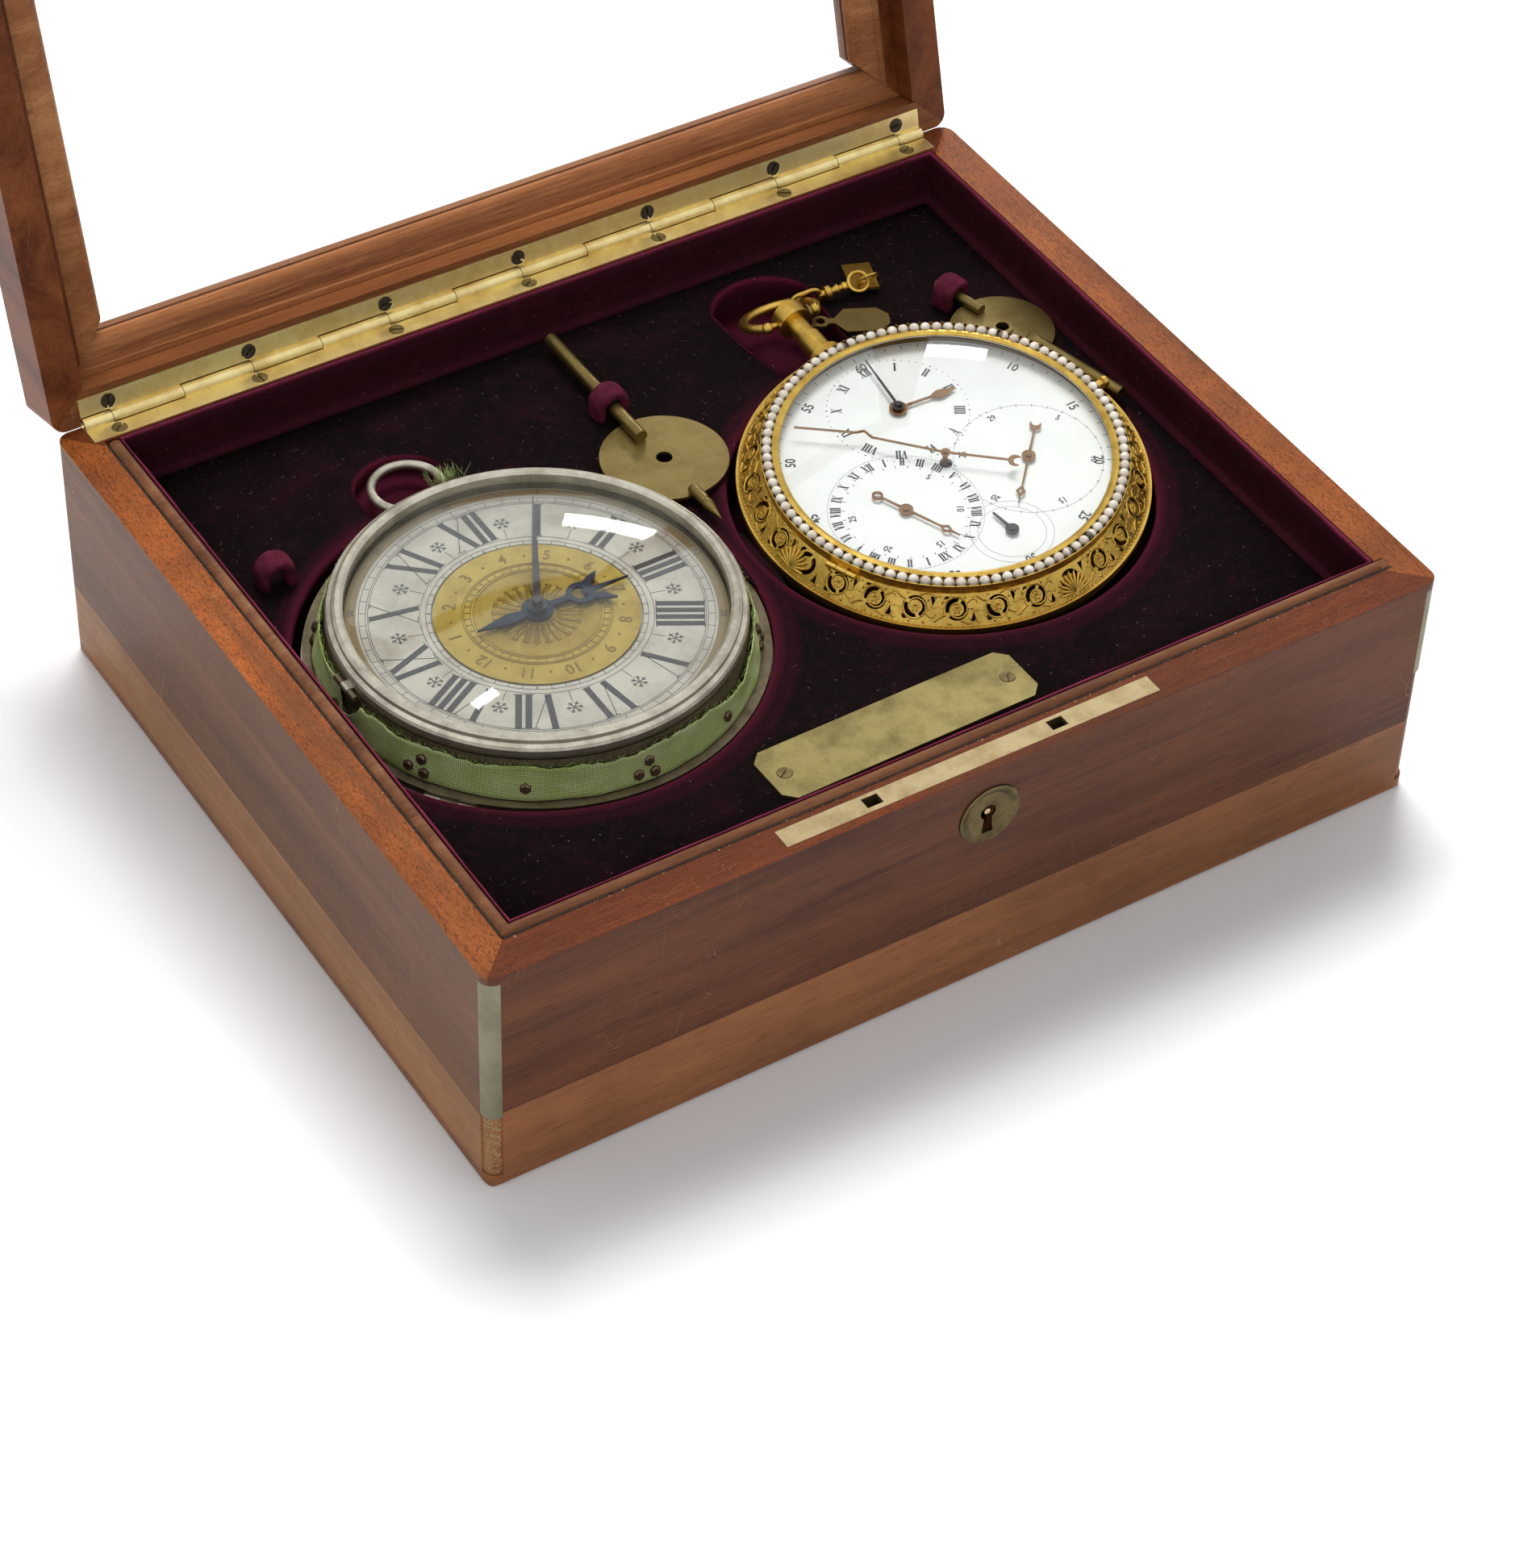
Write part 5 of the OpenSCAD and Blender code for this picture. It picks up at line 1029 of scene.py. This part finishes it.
def gallery():
    """Chased scrolls, leaves and rosettes that stand on the pierced band."""
    bm = bmesh.new()
    degrees_a_metre = degrees(1 / 0.0548)
    for cell in range(CELLS):
        middle = cell * 360 / CELLS
        if min(abs((middle - shell + 180) % 360 - 180) for shell in SHELLS) < 5:
            continue
        hand = 1 if cell % 2 == 0 else -1

        def spot(x, y):
            return on_band(middle + x * degrees_a_metre, hand * y, 0.00015)

        stem = []
        for step in range(19):
            turn = radians(200 - 560 * step / 18)
            reach = 0.0033 * (1 - step / 18) ** 0.7 + 0.0005
            stem.append(spot(reach * cos(turn), reach * sin(turn)))
        lead = [spot(-0.0058 + 0.0007 * step, -0.0034 + 0.0007 * step * (1 - step / 9))
                for step in range(5)]
        add_wire(bm, lead + stem, 0.00034, 0.0002, GILT)
        for tendril in TENDRILS:
            add_wire(bm, [spot(x, y) for x, y in tendril], 0.00028, 0.00016, GILT)
        for petal in range(6):
            at = band_matrix(middle, 0, 0.0001, 60 * petal)
            add_bead(bm, (0.0008, 0, 0), (0.0007, 0.00035, 0.0003), at, (6, 4))
        for x, y, spin in LEAVES:
            at = band_matrix(middle + x * degrees_a_metre, hand * y, 0.0001, hand * spin)
            add_bead(bm, (0, 0, 0), (0.001, 0.0004, 0.0003), at, (6, 4))
    for middle in SHELLS:
        for ray in range(-5, 6):
            at = band_matrix(middle, -0.0038, 0.0003, 90 + ray * 16)
            length = 0.0034 - 0.00012 * abs(ray)
            add_bead(bm, (length, 0, 0.0001), (length, 0.00052, 0.0005), at)
    piece("gallery_chasing", bm, GILT_METAL, "gilt_watch")
    rims = bmesh.new()
    for step in range(240):
        for up in (-BAND_SLOPE / 2 + 0.0002, BAND_SLOPE / 2 - 0.0001):
            add_bead(rims, (0, 0, 0), (0.00055, 0.00036, 0.0003),
                     band_matrix(1.5 * step, up, 0.0001, 35), (6, 4))
    piece("gallery_rope_edges", rims, GILT_METAL, "gilt_watch")


def pearl_grains():
    """Tiny raised grains that hold the pearls."""
    bm = bmesh.new()
    for step in range(PEARLS):
        turn = GILT @ turned(360 * (step + 0.5) / PEARLS)
        for radius, size in ((0.05185, 0.00042), (0.04915, 0.00038)):
            add_bead(bm, (radius, 0, 0.0112), (size, size, size), turn, (6, 4))
    piece("pearl_grains", bm, OLD_BRASS, "gilt_front")


# ---------- the CAD pieces' finishes ----------

dress(MAHOGANY_FRONT_PAINTED_SHADE, "front_board", "back_board", "base_board")
dress(MAHOGANY_SIDE_PAINTED_LIGHT, "end_boards")
dress(LIP_WOOD, "rim_lips")
dress(MAHOGANY_LID_X, "lid_front_rail", "lid_back_rail")
dress(MAHOGANY_LID_Y, "lid_stiles")
dress(BEAD_WOOD, "lid_beads")
dress(POLISHED_BRASS, "base_hinge_leaf", "lid_hinge_leaf", "hinge_pin")
dress(LOCK_BRASS, "lock_case", "link_plate", "lock_bolt")
dress(LABEL_BRASS, "label_plate")
dress(OLD_BRASS, "escutcheon")
dress(KEY_BRASS, "key_one", "key_two")
dress(STRING_METAL, "corner_strings")
dress(SCREW_BRASS, "case_screws")
dress(SCREW_STEEL, "lid_screws")
dress(SILVER, "coach_bezel", "coach_cover", "coach_ring")
dress(BAND_SILVER, "coach_case")
dress(PIN_METAL, "ribbon_pins")
dress(SILVERED, "coach_dial")
dress(ALARM_GILDING, "alarm_disc")
dress(BLUED_STEEL, "coach_hour_hand")
dress(STEEL, "coach_minute_hand", "strike_lever", "gilt_minute_hand")
dress(INNER_BRASS, "coach_plates", "coach_fusee", "coach_balance", "coach_bell", "gilt_plates")
dress(GILT_METAL, "gilt_case", "gilt_bezel", "gilt_pendant", "gilt_bow", "swivel_hook",
      "square_tag", "push_piece")
dress(KEY_BRASS, "octagonal_tag")
dress(ROSE_GOLD, "seconds_hand", "gilt_hour_hand", "moon_hand", "date_hand")
dress(ENAMEL, "enamel_dial")
dress(PEARL, "bezel_pearls")
dress(GLASS, "coach_glass", "gilt_glass")
dress(LID_PANE, "lid_glass")

coach_dial_marks()
alarm_disc_marks()
enamel_marks()
velvet_floor()
velvet_walls()
loops = [padded_loop(number, *loop) for number, loop in enumerate(LOOPS, 1)]
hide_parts("key_loops")
lint()
crumbs()
ribbon()
gallery()
pearl_grains()


# ---------- floor, light and camera ----------

def studio():
    white = Finish("studio floor", (244, 244, 245), 0.9)
    away = white.radius(white.place())
    # The floor glows for direct rays: not at all next to the case and more further out. This paints
    # the shadow round the case darker and makes it fade quickly, and it keeps the floor white far
    # off
    painted_glow = white.node("Emission", {"Strength": white.sums(
        "ADD", white.span(away, 0.17, 0.42, 0.0, 0.32), white.span(away, 0.7, 2.2, 0.0, 0.9))})
    painted_light = white.node("AddShader", {0: white.shader.outputs[0], 1: painted_glow.outputs[0]})
    white.show(white.direct(), white.shader, painted_light)
    bm = bmesh.new()
    ops.create_grid(bm, x_segments=2, y_segments=2, size=4)
    floor = placed("studio_floor", meshed("studio_floor", bm, white.material))
    floor.location.z = -0.0002

    scene = bpy.context.scene
    scene.world = bpy.data.worlds.new("studio")
    scene.world.use_nodes = True
    sky = Nodes(scene.world.node_tree)
    up = sky.axes(sky.node("TexCoord").outputs["Generated"])[2]
    # Mirrors see a brighter sky than matt surfaces are lit by
    mirrored = sky.sums("MULTIPLY", sky.node("LightPath").outputs["Is Glossy Ray"], 1.3)
    strength = sky.sums("MULTIPLY", sky.sums("ADD", mirrored, 1.0),
                        sky.span(up, -0.4, 0.9, 0.17, 0.42))
    around = sky.node("Background", {"Color": (0.98, 0.99, 1.0, 1), "Strength": strength})
    plain = sky.node("Background", {"Color": (1, 1, 1, 1)})
    sky.show(sky.direct(), around, plain, "World Output")

    for name, azimuth, elevation, distance, size, power in (
            ("key softbox", 64, 63, 3.0, (1.4, 1.1), 86.0),
            ("key fill", 237, 35, 2.5, (1.2, 1.2), 13.0),
            ("overhead strip", 100, 71, 1.5, (0.14, 0.06), 0.5),
            ("back strip", 53, 20, 1.5, (0.3, 0.13), 2.2)):
        lamp = bpy.data.lights.new(name, "AREA")
        lamp.shape = "RECTANGLE"
        lamp.size, lamp.size_y = size
        lamp.energy = power
        holder = placed(name, lamp)
        turn, rise = radians(azimuth), radians(elevation)
        way = Vector((cos(rise) * cos(turn), cos(rise) * sin(turn), sin(rise)))
        holder.location = way * distance + Vector((0, 0, 0.06))
        holder.rotation_euler = way.to_track_quat("Z", "Y").to_euler()
        holder.visible_glossy = holder.visible_transmission = not name.startswith("key")

    camera = placed("camera", bpy.data.cameras.new("camera"))
    camera.location = (-0.5162, -0.7908, 0.8824)
    camera.rotation_euler = [radians(angle) for angle in (46.196, -1.814, -32.221)]
    camera.data.sensor_width = 36
    camera.data.lens = 102.75
    camera.data.shift_x = -0.0065
    camera.data.shift_y = -0.008
    scene.camera = camera
    scene.view_settings.view_transform = "Standard"


studio()
